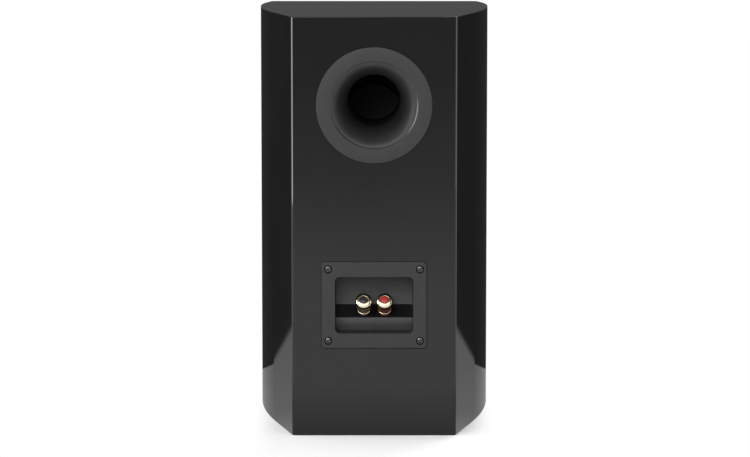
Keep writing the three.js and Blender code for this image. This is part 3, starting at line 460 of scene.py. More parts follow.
# Rounds the corners of an outline that turn by more than a little.
def eased(points, reach, closed=True, steps=4):
    count = len(points)
    made = []
    for i, corner in enumerate(points):
        here = Vector(corner)
        if not closed and i in (0, count - 1):
            made.append(corner)
            continue
        before = Vector(points[i - 1]) - here
        after = Vector(points[(i + 1) % count]) - here
        if before.length < 1e-6 or after.length < 1e-6 or before.angle(after) > math.radians(155):
            made.append(corner)
            continue
        first = here + before.normalized() * min(reach, before.length * 0.45)
        last = here + after.normalized() * min(reach, after.length * 0.45)
        for k in range(steps + 1):
            t = k / steps
            made.append(tuple(first * (1 - t) ** 2 + here * 2 * t * (1 - t) + last * t ** 2))
    return made


# A turned body from (radius, height) points, its axis along local Z.
def turned(profile, steps=96):
    shape = bmesh.new()
    corners = [shape.verts.new((r, 0, h)) for r, h in profile]
    onAxis = profile[0][0] < 1e-6 and profile[-1][0] < 1e-6
    pairs = list(zip(corners, corners[1:])) + ([] if onAxis else [(corners[-1], corners[0])])
    edges = [shape.edges.new(pair) for pair in pairs]
    bmesh.ops.spin(
        shape, geom=corners + edges, cent=(0, 0, 0), axis=(0, 0, 1),
        angle=math.tau, steps=steps, use_merge=True,
    )
    bmesh.ops.remove_doubles(shape, verts=shape.verts, dist=0.0005)
    bmesh.ops.recalc_face_normals(shape, faces=shape.faces)
    return shape


# A flat outline in X and Y raised between two heights.
def raised(outline, low, high):
    shape = bmesh.new()
    corners = [shape.verts.new((x, y, low)) for x, y in outline]
    for a, b in zip(corners, corners[1:] + corners[:1]):
        shape.edges.new((a, b))
    face = bmesh.ops.contextual_create(shape, geom=shape.edges[:])["faces"]
    grown = bmesh.ops.extrude_face_region(shape, geom=face)["geom"]
    top = [g for g in grown if isinstance(g, bmesh.types.BMVert)]
    bmesh.ops.translate(shape, verts=top, vec=(0, 0, high - low))
    bmesh.ops.recalc_face_normals(shape, faces=shape.faces)
    return shape


def block(low, high):
    shape = bmesh.new()
    bmesh.ops.create_cube(shape, size=1)
    size = Vector(high) - Vector(low)
    bmesh.ops.scale(shape, vec=size, verts=shape.verts)
    bmesh.ops.translate(shape, vec=(Vector(low) + Vector(high)) / 2, verts=shape.verts)
    return shape


def roundedOutline(width, height, corner, steps=8):
    x, y = width / 2 - corner, height / 2 - corner
    made = []
    for sx, sy, start in ((1, 1, 0), (-1, 1, 90), (-1, -1, 180), (1, -1, 270)):
        made += arc(sx * x, sy * y, corner, corner, start, start + 90, steps)
    return made


def moved(shape, matrix):
    bmesh.ops.transform(shape, matrix=matrix, verts=shape.verts)
    return shape


# Matrices that carry local Z onto a piece's axis.
def backwards(x, y, z):
    return Matrix.Translation((x, y, z)) @ Matrix.Rotation(-math.pi / 2, 4, "X")


def forwards(x, y, z):
    return Matrix.Translation((x, y, z)) @ Matrix.Rotation(math.pi / 2, 4, "X")


def plainObject(name, shape, place=None):
    if place is not None:
        moved(shape, place)
    bmesh.ops.scale(shape, vec=(mm, mm, mm), verts=shape.verts)
    mesh = bpy.data.meshes.new(name)
    shape.to_mesh(mesh)
    shape.free()
    made = bpy.data.objects.new(name, mesh)
    scene.collection.objects.link(made)
    return made


def settle(made, *modifiers):
    for kind, settings in modifiers:
        modifier = made.modifiers.new(kind.lower(), kind)
        for key, value in settings.items():
            setattr(modifier, key, value)
    graph = bpy.context.evaluated_depsgraph_get()
    mesh = bpy.data.meshes.new_from_object(made.evaluated_get(graph), depsgraph=graph)
    made.modifiers.clear()
    old = made.data
    made.data = mesh
    bpy.data.meshes.remove(old)
    mesh.name = made.name


def carve(made, cutters, operation="DIFFERENCE"):
    for cutter in cutters:
        settle(made, ("BOOLEAN", {"object": cutter, "operation": operation, "solver": "EXACT"}))
        old = cutter.data
        bpy.data.objects.remove(cutter)
        bpy.data.meshes.remove(old)


def dress(made, finish, body, replaces=(), sharp=32):
    if not made.data.materials:
        made.data.materials.append(finishes[finish].material)
    made.data.polygons.foreach_set("use_smooth", [True] * len(made.data.polygons))
    made.data.set_sharp_from_angle(angle=math.radians(sharp))
    if body:
        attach(made, body)
    if replaces:
        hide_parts(*replaces)
    return made


# Cabinet: one lacquered shell with the cavity and every opening cut in it

cabinetSettings = {
    "halfWidth": 108, "rearHalfWidth": 73.9,
    "front": -134, "back": 136, "height": 380,
    "widest": -64, "rearRadius": 526.16, "frontRadius": 300, "straightAngle": 13.631,
    "upright": 3, "rim": 0.55, "wall": 18, "baffle": 25,
    "rearSteps": 40, "frontSteps": 20,
    "plateHole": (95.8, 79.6, 3.9), "plateSeat": 3.8,  # width, height and corner
    "bodyHole": (77.8, 58.6, 7.9),
    "flangeHole": 52.6, "flangeSeat": 2.3, "flareHole": 43.5,
    "wooferHole": 76.4, "wooferSeat": 7.3, "wooferBody": 66,
    "tweeterHole": 52.4, "tweeterSeat": 4.3, "tweeterBody": 37,
    "past": 5,  # how far a cutter reaches past a face, and past the panel behind it
    "skin": 3,  # faces nearer the outside than this are lacquered
}


# A point of a side's arc at an angle from the widest place, set in by a distance.
def onSide(angle, inset, c):
    full = c["frontRadius"] if angle < 0 else c["rearRadius"]
    x = c["halfWidth"] - full + (full - inset) * math.cos(math.radians(angle))
    return (x, c["widest"] + (full - inset) * math.sin(math.radians(angle)))


def sideAngle(y, inset, c):
    full = c["frontRadius"] if y < c["widest"] else c["rearRadius"]
    return math.degrees(math.asin((y - c["widest"]) / (full - inset)))


def halfWidthAt(y, inset, c):
    angle = math.radians(c["straightAngle"])
    if y < c["widest"] + (c["rearRadius"] - inset) * math.sin(angle):
        return onSide(sideAngle(y, inset, c), inset, c)[0]
    return c["rearHalfWidth"] + (c["back"] - y) * math.tan(angle) - inset / math.cos(angle)


# The plan of the cabinet, set in by a distance, between two stations.
def cabinetPlan(inset, y0, y1, edge, c):
    start = sideAngle(y0 + edge, inset + edge, c)
    bends = [start * (1 - i / c["frontSteps"]) for i in range(c["frontSteps"])]
    bends += [c["straightAngle"] * i / c["rearSteps"] for i in range(c["rearSteps"] + 1)]
    right = [onSide(angle, inset, c) for angle in bends]
    if edge:
        front = (halfWidthAt(y0 + edge, inset + edge, c), y0 + edge)
        rear = (halfWidthAt(y1 - edge, inset + edge, c), y1 - edge)
        right = arc(*front, edge, edge, -90, start, 10)[:-1] + right
        right += arc(*rear, edge, edge, c["straightAngle"], 90, 10)
    else:
        right.append((halfWidthAt(y1, inset, c), y1))
    left = [(-x, y) for x, y in reversed(right)]
    return right + left


def hole(x, z, radius, y0, y1, steps=96):
    shape = bmesh.new()
    bmesh.ops.create_cone(
        shape, cap_ends=True, segments=steps, radius1=radius, radius2=radius, depth=y1 - y0,
    )
    return plainObject("cutter", shape, backwards(x, (y0 + y1) / 2, z))


def makeCabinet(c):
    shape = raised(cabinetPlan(0, c["front"], c["back"], c["upright"], c), 0, c["height"])
    rims = [e for e in shape.edges if abs(e.verts[0].co.z - e.verts[1].co.z) < 1e-6]
    bmesh.ops.bevel(
        shape, geom=rims, offset=c["rim"], affect="EDGES", segments=3, profile=0.5, material=-1,
        clamp_overlap=True,
    )
    made = plainObject("cabinetShell", shape)
    inside = cabinetPlan(c["wall"], c["front"] + c["baffle"], c["back"] - c["wall"], 0, c)
    cavity = plainObject("cutter", raised(inside, c["wall"], c["height"] - c["wall"]))
    back, front = c["back"], c["front"]
    rearInside, frontInside = back - c["baffle"], front + c["baffle"] + c["past"]
    portZ = middle("port_flare").z / mm
    wooferZ, tweeterZ = wooferHeight / mm, tweeterHeight / mm
    plateZ = middle("terminal_cup").z / mm
    plateHole = raised(roundedOutline(*c["plateHole"]), 0, c["past"])
    bodyHole = raised(roundedOutline(*c["bodyHole"]), 0, c["baffle"] + c["past"])
    outside, before = back + c["past"], front - c["past"]
    carve(made, [
        cavity,
        hole(0, portZ, c["flangeHole"], back - c["flangeSeat"], outside),
        hole(0, portZ, c["flareHole"], rearInside, outside),
        plainObject("cutter", plateHole, backwards(0, back - c["plateSeat"], plateZ)),
        plainObject("cutter", bodyHole, backwards(0, rearInside, plateZ)),
        hole(0, wooferZ, c["wooferHole"], before, front + c["wooferSeat"]),
        hole(0, wooferZ, c["wooferBody"], before, frontInside),
        hole(0, tweeterZ, c["tweeterHole"], before, front + c["tweeterSeat"]),
        hole(0, tweeterZ, c["tweeterBody"], before, frontInside),
    ])
    made.data.materials.clear()
    made.data.materials.append(finishes["lacquer"].material)
    made.data.materials.append(finishes["fibreboard"].material)
    # Inner faces take the fibreboard that is darkened as painted shade.
    for face in made.data.polygons:
        x, y, z = (value / mm for value in face.center)
        between = front + c["skin"] < y < back - c["skin"]
        within = between and c["past"] < z < c["height"] - c["past"]
        if within and abs(x) < halfWidthAt(y, 0, c) - c["skin"]:
            face.material_index = 1
    dress(made, None, "cabinet", (
        "top_panel", "bottom_panel", "side_panel_left", "side_panel_right",
        "front_baffle", "rear_panel",
    ), sharp=50)
    settle(made, ("WEIGHTED_NORMAL", {"keep_sharp": True, "weight": 90}))
    return made


makeCabinet(cabinetSettings)
print("cabinet made")

# Port: flange, flare, tube and inner flare

portSettings = {
    "flange": 52.2, "proud": 1.5, "underside": -2,
    "lip": 39.7, "lipFoot": 38.5, "lipDepth": 1.1, "flareStart": 38.0,
    "throat": 24, "throatDepth": -56, "end": -60, "wall": 3, "socket": 6,
    "tubeEnd": -126.3, "innerMouth": 36, "innerEnd": -150.6,
    "steps": 160,
}


def makePort(p):
    place = backwards(0, cabinetSettings["back"], middle("port_flare").z / mm)
    socketInner = p["throat"] + p["wall"] + 0.3
    socketOuter = socketInner + p["wall"]
    body = p["lip"] + p["wall"]
    foot = p["proud"] - p["lipDepth"]
    profile = [(socketInner, p["end"] - p["socket"]), (socketOuter, p["end"] - p["socket"])]
    profile += arc(body, p["end"], body - socketOuter, p["underside"] - p["end"], 180, 90, 16)
    edge = [
        (p["flange"], p["underside"]), (p["flange"], p["proud"]),
        (p["lip"], p["proud"]), (p["lipFoot"], foot), (p["flareStart"], foot),
    ]
    profile += eased(edge, 0.25, closed=False)
    mouth, depth = p["flareStart"], p["throatDepth"]
    profile += arc(mouth, depth, mouth - p["throat"], foot - depth, 90, 180, 40)[1:]
    profile += [(p["throat"], p["end"]), (socketInner, p["end"])]
    flare = plainObject("portFlare", turned(profile, p["steps"]), place)
    flare.data.materials.append(finishes["moldedBlack"].material)
    flare.data.materials.append(finishes["lipBlack"].material)
    centre = middle("port_flare").z
    for face in flare.data.polygons:
        radius = math.hypot(face.center.x, face.center.z - centre) / mm
        outside = face.center.y / mm > cabinetSettings["back"]
        if outside and p["lipFoot"] - 0.1 < radius < p["lip"] + 0.05:
            face.material_index = 1
    dress(flare, "moldedBlack", "cabinet", ("port_flare",), sharp=40)

    pipe = [
        (p["throat"], p["tubeEnd"]), (p["throat"] + p["wall"], p["tubeEnd"]),
        (p["throat"] + p["wall"], p["end"] - 0.3), (p["throat"], p["end"] - 0.3),
    ]
    # The tube takes the painted-shade copy of the molded black.
    tube = plainObject("portTube", turned(eased(pipe, 0.4), p["steps"]), place)
    dress(tube, "tubePaintedShade", "cabinet", ("port_tube",), sharp=40)

    shoulder = p["tubeEnd"] - 0.3
    mouth = p["innerMouth"]
    inner = [(socketInner, shoulder + p["socket"]), (socketInner, shoulder)]
    inner += arc(mouth, shoulder, mouth - p["throat"], shoulder - p["innerEnd"], 180, 270, 20)
    inner += [(mouth + p["wall"], p["innerEnd"]), (mouth + p["wall"], p["innerEnd"] + p["wall"])]
    inner += [(socketOuter, shoulder), (socketOuter, shoulder + p["socket"])]
    # The inner flare takes the painted-shade copy of the molded black.
    bell = plainObject("portInnerFlare", turned(eased(inner, 0.5), p["steps"]), place)
    dress(bell, "tubePaintedShade", "cabinet", ("port_inner_flare",), sharp=40)


makePort(portSettings)
print("port made")

# Terminal cup: plate, drafted recess with a slanted panel, and the body behind it

cupSettings = {
    "plate": (95, 78.8, 3.5), "thickness": 3, "face": 136.5,
    "window": (71, 51.8, 4.5), "shell": 3,
    "lowerDepth": 19, "upperDepth": 26.55, "slantTop": -2.8, "slantBottom": -14,
    "draft": 0.6,  # the window is this much smaller at the bottom of the recess
    "screwPlaces": (41.5, 32.6), "screwHole": 3.7,
    "edge": 0.45,
}


def recess(c, shell, mouth, plateZ):
    reach = c["window"][1] / 2 + shell
    section = [
        (mouth, reach), (c["upperDepth"] + shell, reach), (c["upperDepth"] + shell, c["slantTop"]),
        (c["lowerDepth"] + shell, c["slantBottom"]), (c["lowerDepth"] + shell, -reach),
        (mouth, -reach),
    ]
    outline = [(c["face"] - depth, plateZ + z) for depth, z in section]
    turn = Matrix(((0, 0, 1, 0), (1, 0, 0, 0), (0, 1, 0, 0), (0, 0, 0, 1)))
    slab = plainObject("cutter", moved(raised(outline, -60, 60), turn))
    width, height, corner = c["window"]
    shape = raised(roundedOutline(width + 2 * shell, height + 2 * shell, corner + shell), 0, 40)
    back = [v for v in shape.verts if v.co.z < 1]
    shrink = 1 - 2 * c["draft"] / height
    bmesh.ops.scale(shape, vec=(shrink, shrink, 1), verts=back)
    deepest = c["face"] - (39 if shell else 36)
    window = plainObject("cutter", shape, backwards(0, deepest, plateZ))
    carve(slab, [window], "INTERSECT")
    return slab


def makeCup(c):
    plateZ = middle("terminal_cup").z / mm
    width, height, corner = c["plate"]
    shape = raised(roundedOutline(width, height, corner), -c["thickness"], 0)
    rims = [e for e in shape.edges if min(v.co.z for v in e.verts) > -0.01]
    bmesh.ops.bevel(
        shape, geom=rims, offset=c["edge"], affect="EDGES", segments=3, profile=0.5, material=-1,
    )
    made = plainObject("terminalCup", shape, backwards(0, c["face"], plateZ))
    carve(made, [recess(c, c["shell"], 1, plateZ)], "UNION")
    sx, sz = c["screwPlaces"]
    cutters = [recess(c, 0, -3, plateZ)]
    for x in (-sx, sx):
        for z in (-sz, sz):
            cutters.append(hole(x, plateZ + z, c["screwHole"], c["face"] - 2.3, c["face"] + 2, 48))
            cutters.append(hole(x, plateZ + z, 2.2, c["face"] - 6, c["face"] + 2, 32))
    for x in (-9.5, 9.5):
        shape = bmesh.new()
        bmesh.ops.create_cone(shape, cap_ends=True, segments=40, radius1=4.8, radius2=4.8, depth=9)
        cutters.append(plainObject("cutter", shape, postPlace(x)))
    carve(made, cutters)
    settle(made, ("BEVEL", {
        "width": 0.35 * mm, "segments": 2, "limit_method": "ANGLE", "angle_limit": math.radians(40),
        "harden_normals": False,
    }))
    made.data.materials.clear()
    made.data.materials.append(finishes["cupBlack"].material)
    made.data.materials.append(finishes["slantPaintedShade"].material)
    tilt = math.radians(postSettings["tilt"])
    slant = Vector((0, math.cos(tilt), math.sin(tilt)))
    # The slanted panel's faces take the painted-shade copy of the cup's black.
    for face in made.data.polygons:
        if face.normal.dot(slant) > 0.999:
            face.material_index = 1
    dress(made, "cupBlack", "cabinet", ("terminal_cup",), sharp=50)
    settle(made, ("WEIGHTED_NORMAL", {"keep_sharp": True, "weight": 80}))


# The terminals stand square to the slanted panel, 34 degrees above the horizontal.
postSettings = {"tilt": 34, "base": (113.72, 111.1), "spacing": 19, "steps": 72}


def postPlace(x):
    y, z = postSettings["base"]
    turn = Matrix.Rotation(math.radians(postSettings["tilt"] - 90), 4, "X")
    return Matrix.Translation((x, y, z)) @ turn


makeCup(cupSettings)
print("terminal cup made")

# Screws: cross-head, one turned a little differently from the next

screwSettings = {"head": 3.3, "crown": -0.05, "rim": -1.1, "under": -2, "shank": 1.9, "length": 16}


def makeScrew(name, x, y, z, turn, s):
    shank, tip = s["shank"], -s["length"]
    profile = [(0, tip), (shank * 0.6, tip + 0.4), (shank, tip + 2.5)]
    profile += [(shank, s["under"]), (s["head"], s["under"]), (s["head"], s["rim"])]
    profile += arc(0, s["rim"], s["head"] - 0.25, s["crown"] - s["rim"], 0, 90, 8)[1:]
    profile[-1] = (0, s["crown"])
    made = plainObject(name, turned(eased(profile, 0.2, closed=False), 40), backwards(0, 0, 0))
    cutters = []
    for quarter in (0, 90):
        shape = block((-2.4, -0.65, -2), (2.4, 0.65, 0.5))
        low = [v for v in shape.verts if v.co.z < 0]
        bmesh.ops.scale(shape, vec=(0.35, 0.6, 1), verts=low)
        moved(shape, Matrix.Rotation(math.radians(quarter), 4, "Z"))
        cutters.append(plainObject("cutter", shape, backwards(0, 0, 0)))
    carve(made, cutters)
    made.data.transform(
        Matrix.Translation((x * mm, y * mm, z * mm)) @ Matrix.Rotation(math.radians(turn), 4, "Y")
    )
    return made


def makeTerminalScrews():
    for number, turn in ((1, 22), (2, 38), (3, 12), (4, 31)):
        node = f"terminal_screw_{number}"
        spot = middle(node)
        place = (spot.x / mm, cupSettings["face"], spot.z / mm)
        made = makeScrew(f"terminalScrew{number}", *place, turn, screwSettings)
        dress(made, "blackScrew", "cabinet", (node,), sharp=35)


makeTerminalScrews()
print("terminal screws made")

# Screw terminals


def ribbed(shape, ribs, depth, inner):
    for vert in shape.verts:
        radius = math.hypot(vert.co.x, vert.co.y)
        if radius > inner:
            angle = math.atan2(vert.co.y, vert.co.x)
            shrink = 1 - depth / radius * (0.5 + 0.5 * math.cos(angle * ribs))
            vert.co.x *= shrink
            vert.co.y *= shrink
    return shape


def makePost(colour, x, tint, sleeve):
    place = postPlace(x)
    steps = postSettings["steps"]
    insulator = f"{colour}Insulator"

    collar = [
        (3.8, -2.49), (4.5, -2.49), (4.5, 0.3), (6.3, 0.3), (6.3, 2.7), (5.7, 3.3), (3.8, 3.3),
    ]
    made = plainObject(f"postCollar{tint}", turned(eased(collar, 0.3), steps), place)
    collarFinish = "redCollar" if colour == "red" else insulator
    dress(made, collarFinish, "cabinet", (f"post_collar_{colour}",))

    stud = [
        (0, -15), (2.5, -15), (2.5, -2.49), (3.5, -2.49), (3.5, 3.6), (5.4, 3.6), (5.4, 4.6),
        (3.5, 4.6), (3.5, 22), (2.2, 22), (2.2, 7), (0, 7),
    ]
    made = plainObject(f"postStud{tint}", turned(eased(stud, 0.15, closed=False), steps), place)
    dress(made, "goldPlate", "cabinet", (f"post_stud_{colour}",))

    ring = [(3.8, 4.9), (6.4, 4.9), (6.4, 6.1), (3.8, 6.1)]
    made = plainObject(f"postClampRing{tint}", turned(eased(ring, 0.35), steps), place)
    dress(made, "goldPlate", f"{colour}_clamp_ring", (f"post_clamp_ring_{colour}",))

    cap = [(3.8, 6.6), (5.1, 6.6), (5.1, 16.9), (7.0, 16.9), (7.4, 17.4), (7.4, 20.9)]
    cap += arc(3.8, 20.9, 3.6, 2.5, 0, 90, 18)[1:]
    made = plainObject(f"postNut{tint}", turned(eased(cap, 0.2), steps), place)
    notches = []
    for side in (-1, 1):
        shape = bmesh.new()
        bmesh.ops.create_cone(
            shape, cap_ends=True, segments=24, radius1=0.75, radius2=0.75, depth=3,
        )
        across = Matrix.Rotation(math.pi / 2, 4, "Y")
        moved(shape, Matrix.Translation((side * 7.7, 0, 19.2)) @ across)
        notches.append(plainObject("cutter", shape, place))
    carve(made, notches)
    dress(made, "goldPlate", f"{colour}_nut", (f"post_nut_{colour}",))

    tube = [(5.15, 6.4), (6.3, 6.4)]
    tube += [(6.3, 6.4 + 10.4 * i / 6) for i in range(1, 7)] + [(5.15, 16.8)]
    shape = ribbed(turned(eased(tube, 0.25), 240), 40, 0.35, 5.9)
    made = plainObject(f"postSleeve{tint}", shape, place)
    dress(made, sleeve, f"{colour}_nut")

    plug = [(0, 10.3), (1.5, 10.3), (1.9, 10.8), (1.9, 22.3), (3.5, 22.3), (3.5, 23.3)]
    plug += arc(0, 23.3, 3.3, 0.6, 0, 90, 8)
    made = plainObject(f"postPlug{tint}", turned(eased(plug, 0.25, closed=False), steps), place)
    dress(made, insulator, f"{colour}_plug", (f"post_plug_{colour}",))


makePost("black", postSettings["spacing"] / 2, "Black", "smokeSleeve")
makePost("red", -postSettings["spacing"] / 2, "Red", "redSleeve")
print("screw terminals made")

# Woofer. Heights are in front of the baffle's face, along local Z.

wooferSettings = {
    "trimInner": 69.5, "trimOuter": 80, "trimProud": 3.5,
    "rollCentre": 61.05, "rollHalf": 5.45, "rollHeight": 5.6, "skin": 0.8,
    "flat": -2.7, "flangeGlue": 68.5,
    "coneRim": 55.6, "rim": -3.3, "neck": 17.5, "coneDepth": 21,
    "capRadius": 21, "capBase": -22.1, "capHeight": 7,
    "spiderInner": 17.2, "spiderOuter": 45.6, "spiderFlat": -37.7, "waves": 3, "waveHeight": 1.8,
    "steps": 160,
}


# Bakes a ring's transform into its mesh; a smoothstep weight between its outer and inner edge is
# worked out for each vertex but not kept.
def bendRing(made, height, outer, inner):
    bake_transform(made)
    for vert in made.data.vertices:
        radius = math.hypot(vert.co.x, vert.co.z - height) / mm
        t = min(1, max(0, (outer - radius) / (outer - inner)))
        t * t * (3 - 2 * t)


def makeWoofer(w):
    place = forwards(0, cabinetSettings["front"], wooferHeight / mm)
    body = "woofer_cone_assembly"
    trim = [
        (w["trimInner"], -1.9), (76, -1.9), (76, 0.3), (w["trimOuter"], 0.3),
        (w["trimOuter"], 2.1), (w["trimOuter"] - 1.6, w["trimProud"]),
        (w["trimInner"] + 2.5, w["trimProud"]), (w["trimInner"], 0.8),
    ]
    made = plainObject("wooferTrimRing", turned(eased(trim, 0.6), w["steps"]), place)
    dress(made, "moldedBlack", "cabinet", ("woofer_trim_ring",))

    flat, skin, half, centre = w["flat"], w["skin"], w["rollHalf"], w["rollCentre"]
    roll = [(w["flangeGlue"], flat), (w["flangeGlue"], flat + skin)]
    roll += arc(centre, flat + skin, half, w["rollHeight"] - skin, 0, 180, 24)
    roll += [(w["coneRim"] - 3, flat + skin), (w["coneRim"] - 3, flat)]
    roll += arc(centre, flat, half - skin, w["rollHeight"] - skin, 180, 0, 24)
    made = plainObject("wooferSurround", turned(eased(roll, 0.3), w["steps"]), place)
    dress(made, "rubber", None, ("woofer_surround",))
    bendRing(made, wooferHeight, centre + half, centre - half)

    neck = w["rim"] - w["coneDepth"]
    bow = []
    for i in range(13):
        t = i / 12
        radius = w["neck"] + (w["coneRim"] - w["neck"]) * t
        bow.append((radius, neck + w["coneDepth"] * t - 0.6 * math.sin(math.pi * t)))
    cone = bow + [(r, h - 0.7) for r, h in reversed(bow)]
    made = plainObject("wooferCone", turned(cone, w["steps"]), place)
    dress(made, "coneMetal", body, ("woofer_cone",))

    radius, height, base = w["capRadius"], w["capHeight"], w["capBase"]
    sphere = (radius ** 2 + height ** 2) / (2 * height)
    start = math.degrees(math.asin((sphere - height) / sphere))
    outer = arc(0, base + height - sphere, sphere, sphere, start, 90, 16)
    inner = [(r * 0.965, h - 0.7) for r, h in reversed(outer)]
    inner[0] = (0, inner[0][1])
    outer[-1] = (0, outer[-1][1])
    made = plainObject("wooferDustCap", turned(inner + outer, 96), place)
    dress(made, "coneMetal", body, ("woofer_dust_cap",))

    spider = []
    low, high = w["spiderInner"] + 1.5, 39
    count = 2 * w["waves"] * 6
    for i in range(count + 1):
        lift = 0.5 - 0.5 * math.cos(math.pi * i / 6)
        spider.append((low + (high - low) * i / count, w["spiderFlat"] + lift * w["waveHeight"]))
    spider = [(w["spiderInner"], w["spiderFlat"])] + spider + [(w["spiderOuter"], w["spiderFlat"])]
    sheet = spider + [(r, h + 0.6) for r, h in reversed(spider)]
    made = plainObject("wooferSpider", turned(sheet, 120), place)
    dress(made, "spiderCloth", None, ("woofer_spider",))
    bendRing(made, wooferHeight, 39, 18.5)


makeWoofer(wooferSettings)
print("woofer made")

# Tweeter

tweeterSettings = {
    "flange": 52, "proud": 0.5, "mouth": 43, "throat": 14.2, "lip": -13.4, "throatHeight": -12.6,
    "recess": 18.7, "body": 36, "bodyEnd": -15.5,
    "dome": 12.9, "domeHeight": 4.2, "base": -14.9, "skin": 0.4,
    "rollHalf": 1.2, "rollHeight": 1.2,
    "steps": 160,
}


def makeTweeter(t):
    place = forwards(0, cabinetSettings["front"], tweeterHeight / mm)
    body = "tweeter_dome_assembly"
    guide = [(t["recess"], t["bodyEnd"]), (t["body"], t["bodyEnd"])]
    guide += [(t["body"], -4), (t["flange"], -4)]
    guide += [(t["flange"], t["proud"] - 0.5), (t["flange"] - 0.5, t["proud"])]
    mouth, height = t["mouth"], t["throatHeight"]
    guide += arc(mouth, height, mouth - t["throat"], t["proud"] - height, 90, 180, 32)
    guide += [(t["throat"], t["lip"]), (t["recess"], t["lip"])]
    made = plainObject("tweeterWaveguide", turned(eased(guide, 0.3), t["steps"]), place)
    dress(made, "moldedBlack", "cabinet", ("tweeter_waveguide",))

    radius, height, base, skin = t["dome"], t["domeHeight"], t["base"], t["skin"]
    sphere = (radius ** 2 + height ** 2) / (2 * height)
    start = math.degrees(math.asin((sphere - height) / sphere))
    outer = arc(0, base + height - sphere, sphere, sphere, start, 90, 16)
    inner = [(r * 0.97, h - skin) for r, h in reversed(outer)]
    inner[0] = (0, inner[0][1])
    outer[-1] = (0, outer[-1][1])
    made = plainObject("tweeterDome", turned(inner + outer, 96), place)
    dress(made, "domeMetal", body, ("tweeter_dome",))

    start, end = radius + 0.3, t["recess"] - 0.4
    centre = start + t["rollHalf"]
    roll = [(start, base - skin)]
    roll += arc(centre, base - skin, t["rollHalf"] - skin, t["rollHeight"] - skin, 180, 0, 12)
    roll += [(end, base - skin), (end, base)]
    roll += arc(centre, base, t["rollHalf"], t["rollHeight"], 0, 180, 12)
    made = plainObject("tweeterSurround", turned(roll, 120), place)
    dress(made, "rubber", None, ("tweeter_surround",))
    bendRing(made, tweeterHeight, centre + t["rollHalf"], start)


makeTweeter(tweeterSettings)
print("tweeter made")

# Finishes for the CAD parts that stay

nodeFinishes = {
    "fibreboard": ("shelf_brace",),
    "foam": ("foam_lining",),
    "rubber": ("terminal_gasket",),
    "blackScrew": ("woofer_screw_1", "woofer_screw_2", "woofer_screw_3", "woofer_screw_4"),
    "goldPlate": ("post_hex_nut_black", "post_hex_nut_red"),
    "castFrame": ("woofer_basket",),
    "platedSteel": ("woofer_top_plate", "woofer_pole_yoke"),
    "ferrite": ("woofer_magnet", "tweeter_magnet"),
    # The tweeter parts seen through the port take the painted-shade near-black.
    "tweeterPaintedShade": ("tweeter_top_plate", "tweeter_pole_yoke", "tweeter_rear_chamber"),
    "copperWire": (
        "woofer_voice_coil", "tweeter_voice_coil", "inductor_woofer", "inductor_tweeter",
    ),
    "circuitBoard": ("crossover_board",),
    "filmCapacitor": ("capacitor_woofer", "capacitor_tweeter"),
    "ceramic": ("resistor",),
    "leadJacket": ("lead_input", "lead_woofer", "lead_tweeter"),
}
for finish, names in nodeFinishes.items():
    for name in names:
        data = nodes[name].data
        data.materials.clear()
        data.materials.append(finishes[finish].material)
print("hidden parts finished")

# Table, studio light and backdrop

stageSettings = {
    "size": 15,
    "clearSide": (0.085, 0.113), "clearBehind": (0.15, 0.45),  # lit inside, plain white beyond
    "paintedReflectionStops": [  # painted reflection: the glow mirrored rays see on the table, from its far edge towards the viewer
        (0, 0.03), (0.028, 0.03), (0.034, 0.3), (0.29, 0.36), (0.46, 0.7), (0.66, 1.0), (1, 1.0),
    ],
    "edge": -0.228, "edgeBend": 0.235, "edgeSlope": 1.6, "beforeEdge": 0.03,
    "beyondReach": 8,  # the painted reflection of the table dims towards this distance
    "beyondStops": [(0.03, 1.0), (0.125, 1.0), (0.28, 0.55), (0.55, 0.34), (1, 0.28)],
}


def makeTable(s):
    shape = bmesh.new()
    bmesh.ops.create_grid(shape, x_segments=2, y_segments=2, size=s["size"])
    mesh = bpy.data.meshes.new("table")
    shape.to_mesh(mesh)
    shape.free()
    table = bpy.data.objects.new("table", mesh)
    scene.collection.objects.link(table)
    finish = Finish("tableWhite")
    where = finish.node("ShaderNodeSeparateXYZ", {}, (finish.place(),))
    x, y = where.part("X"), where.part("Y")
    fine = finish.noise(300, 2)
    finish.put(Base_Color=fine.ramp([(0.3, 0.73), (0.7, 0.76)]), Roughness=0.5)
    finish.bump(fine, 0.00002)
    away = finish.fade(x.size(), s["clearSide"])
    away = away + finish.fade(y.size(), s["clearBehind"]) * (1 - away)
    white = finish.node("ShaderNodeEmission", {}, {"Color": grey(1), "Strength": 1.0})
    plain = Wire(finish, finish.shader.outputs[0])
    lit = finish.node("ShaderNodeMixShader", {}, {0: away, 1: plain, 2: white})
    # Painted reflection: mirrored rays see the table glow in bands that fade with distance,
    # standing in for the lit table and the dark room beyond it.
    aside = x.maths("MAXIMUM", x.size() - s["edgeBend"], 0.0)
    along = y - s["edge"] + aside * s["edgeSlope"] + s["beforeEdge"]
    mirrored = along.ramp(s["paintedReflectionStops"])
    beyond = (y / s["beyondReach"]).ramp(s["beyondStops"])
    seen = finish.node("ShaderNodeMix", {"data_type": "RGBA", "blend_type": "MULTIPLY"}, {
        0: 1.0, 6: mirrored, 7: beyond,
    }, 2)
    paintedReflectionGlow = finish.node("ShaderNodeEmission", {}, {"Color": seen, "Strength": 1.0})
    ray = finish.node("ShaderNodeLightPath", {}, (), "Is Glossy Ray")
    both = finish.node("ShaderNodeMixShader", {}, {0: ray, 1: lit, 2: paintedReflectionGlow})
    finish.feed(finish.output.inputs["Surface"], both)
    mesh.materials.append(finish.material)


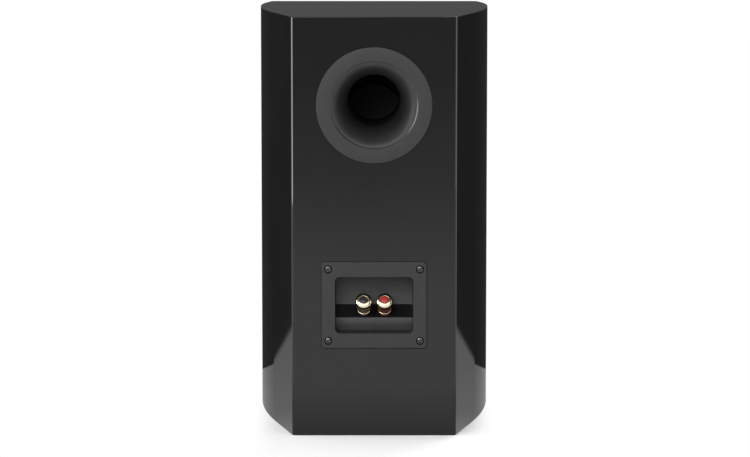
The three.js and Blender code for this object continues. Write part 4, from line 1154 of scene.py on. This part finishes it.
def makeBackdrop():
    world = bpy.data.worlds.new("studio")
    scene.world = world
    world.use_nodes = True
    tree = world.node_tree
    plain = tree.nodes["Background"]
    plain.inputs["Color"].default_value = grey(1)
    dim = tree.nodes.new("ShaderNodeBackground")
    dim.inputs["Color"].default_value = grey(0.1)
    mix = tree.nodes.new("ShaderNodeMixShader")
    path = tree.nodes.new("ShaderNodeLightPath")
    tree.links.new(path.outputs["Is Camera Ray"], mix.inputs[0])
    tree.links.new(dim.outputs[0], mix.inputs[1])
    tree.links.new(plain.outputs[0], mix.inputs[2])
    tree.links.new(mix.outputs[0], tree.nodes["World Output"].inputs["Surface"])


lampSettings = {
    "key": {"place": (0.95, 2.6, 1.25), "aim": (0, 0.1, 0.15), "size": (2.0, 1.4), "power": 40},
    "wall": {"place": (0, 4.2, 2.3), "aim": (0, 0.1, 0.3), "size": (7, 3.6), "power": 110},
    "overhead": {
        "place": (0, 0.3, 2.2), "aim": (0, 0.1, 0), "size": (2.4, 2.4),
        "power": 50, "mirrored": False,
    },
    "leftCard": {
        "place": (1.6, 0.2, 0.65), "aim": (0, 0.15, 0.6), "size": (1.0, 1.24), "power": 30,
    },
    "rightCard": {
        "place": (-1.8, 0.2, 0.65), "aim": (0, 0.15, 0.6), "size": (1.0, 1.24), "power": 4,
    },
    "front": {
        "place": (-1.0, -2.4, 2.3), "aim": (0, -0.1, 0.15), "size": (1.8, 1.2), "power": 60,
    },
}


def makeLamps(lamps):
    for name, s in lamps.items():
        data = bpy.data.lights.new(name, "AREA")
        data.shape = "RECTANGLE"
        data.size, data.size_y = s["size"]
        data.energy = s["power"]
        lamp = bpy.data.objects.new(name, data)
        lamp.location = s["place"]
        direction = Vector(s["aim"]) - Vector(s["place"])
        lamp.rotation_euler = direction.to_track_quat("-Z", "Y").to_euler()
        lamp.visible_camera = False
        lamp.visible_glossy = s.get("mirrored", True)
        scene.collection.objects.link(lamp)


makeTable(stageSettings)
makeBackdrop()
makeLamps(lampSettings)
print("stage made")
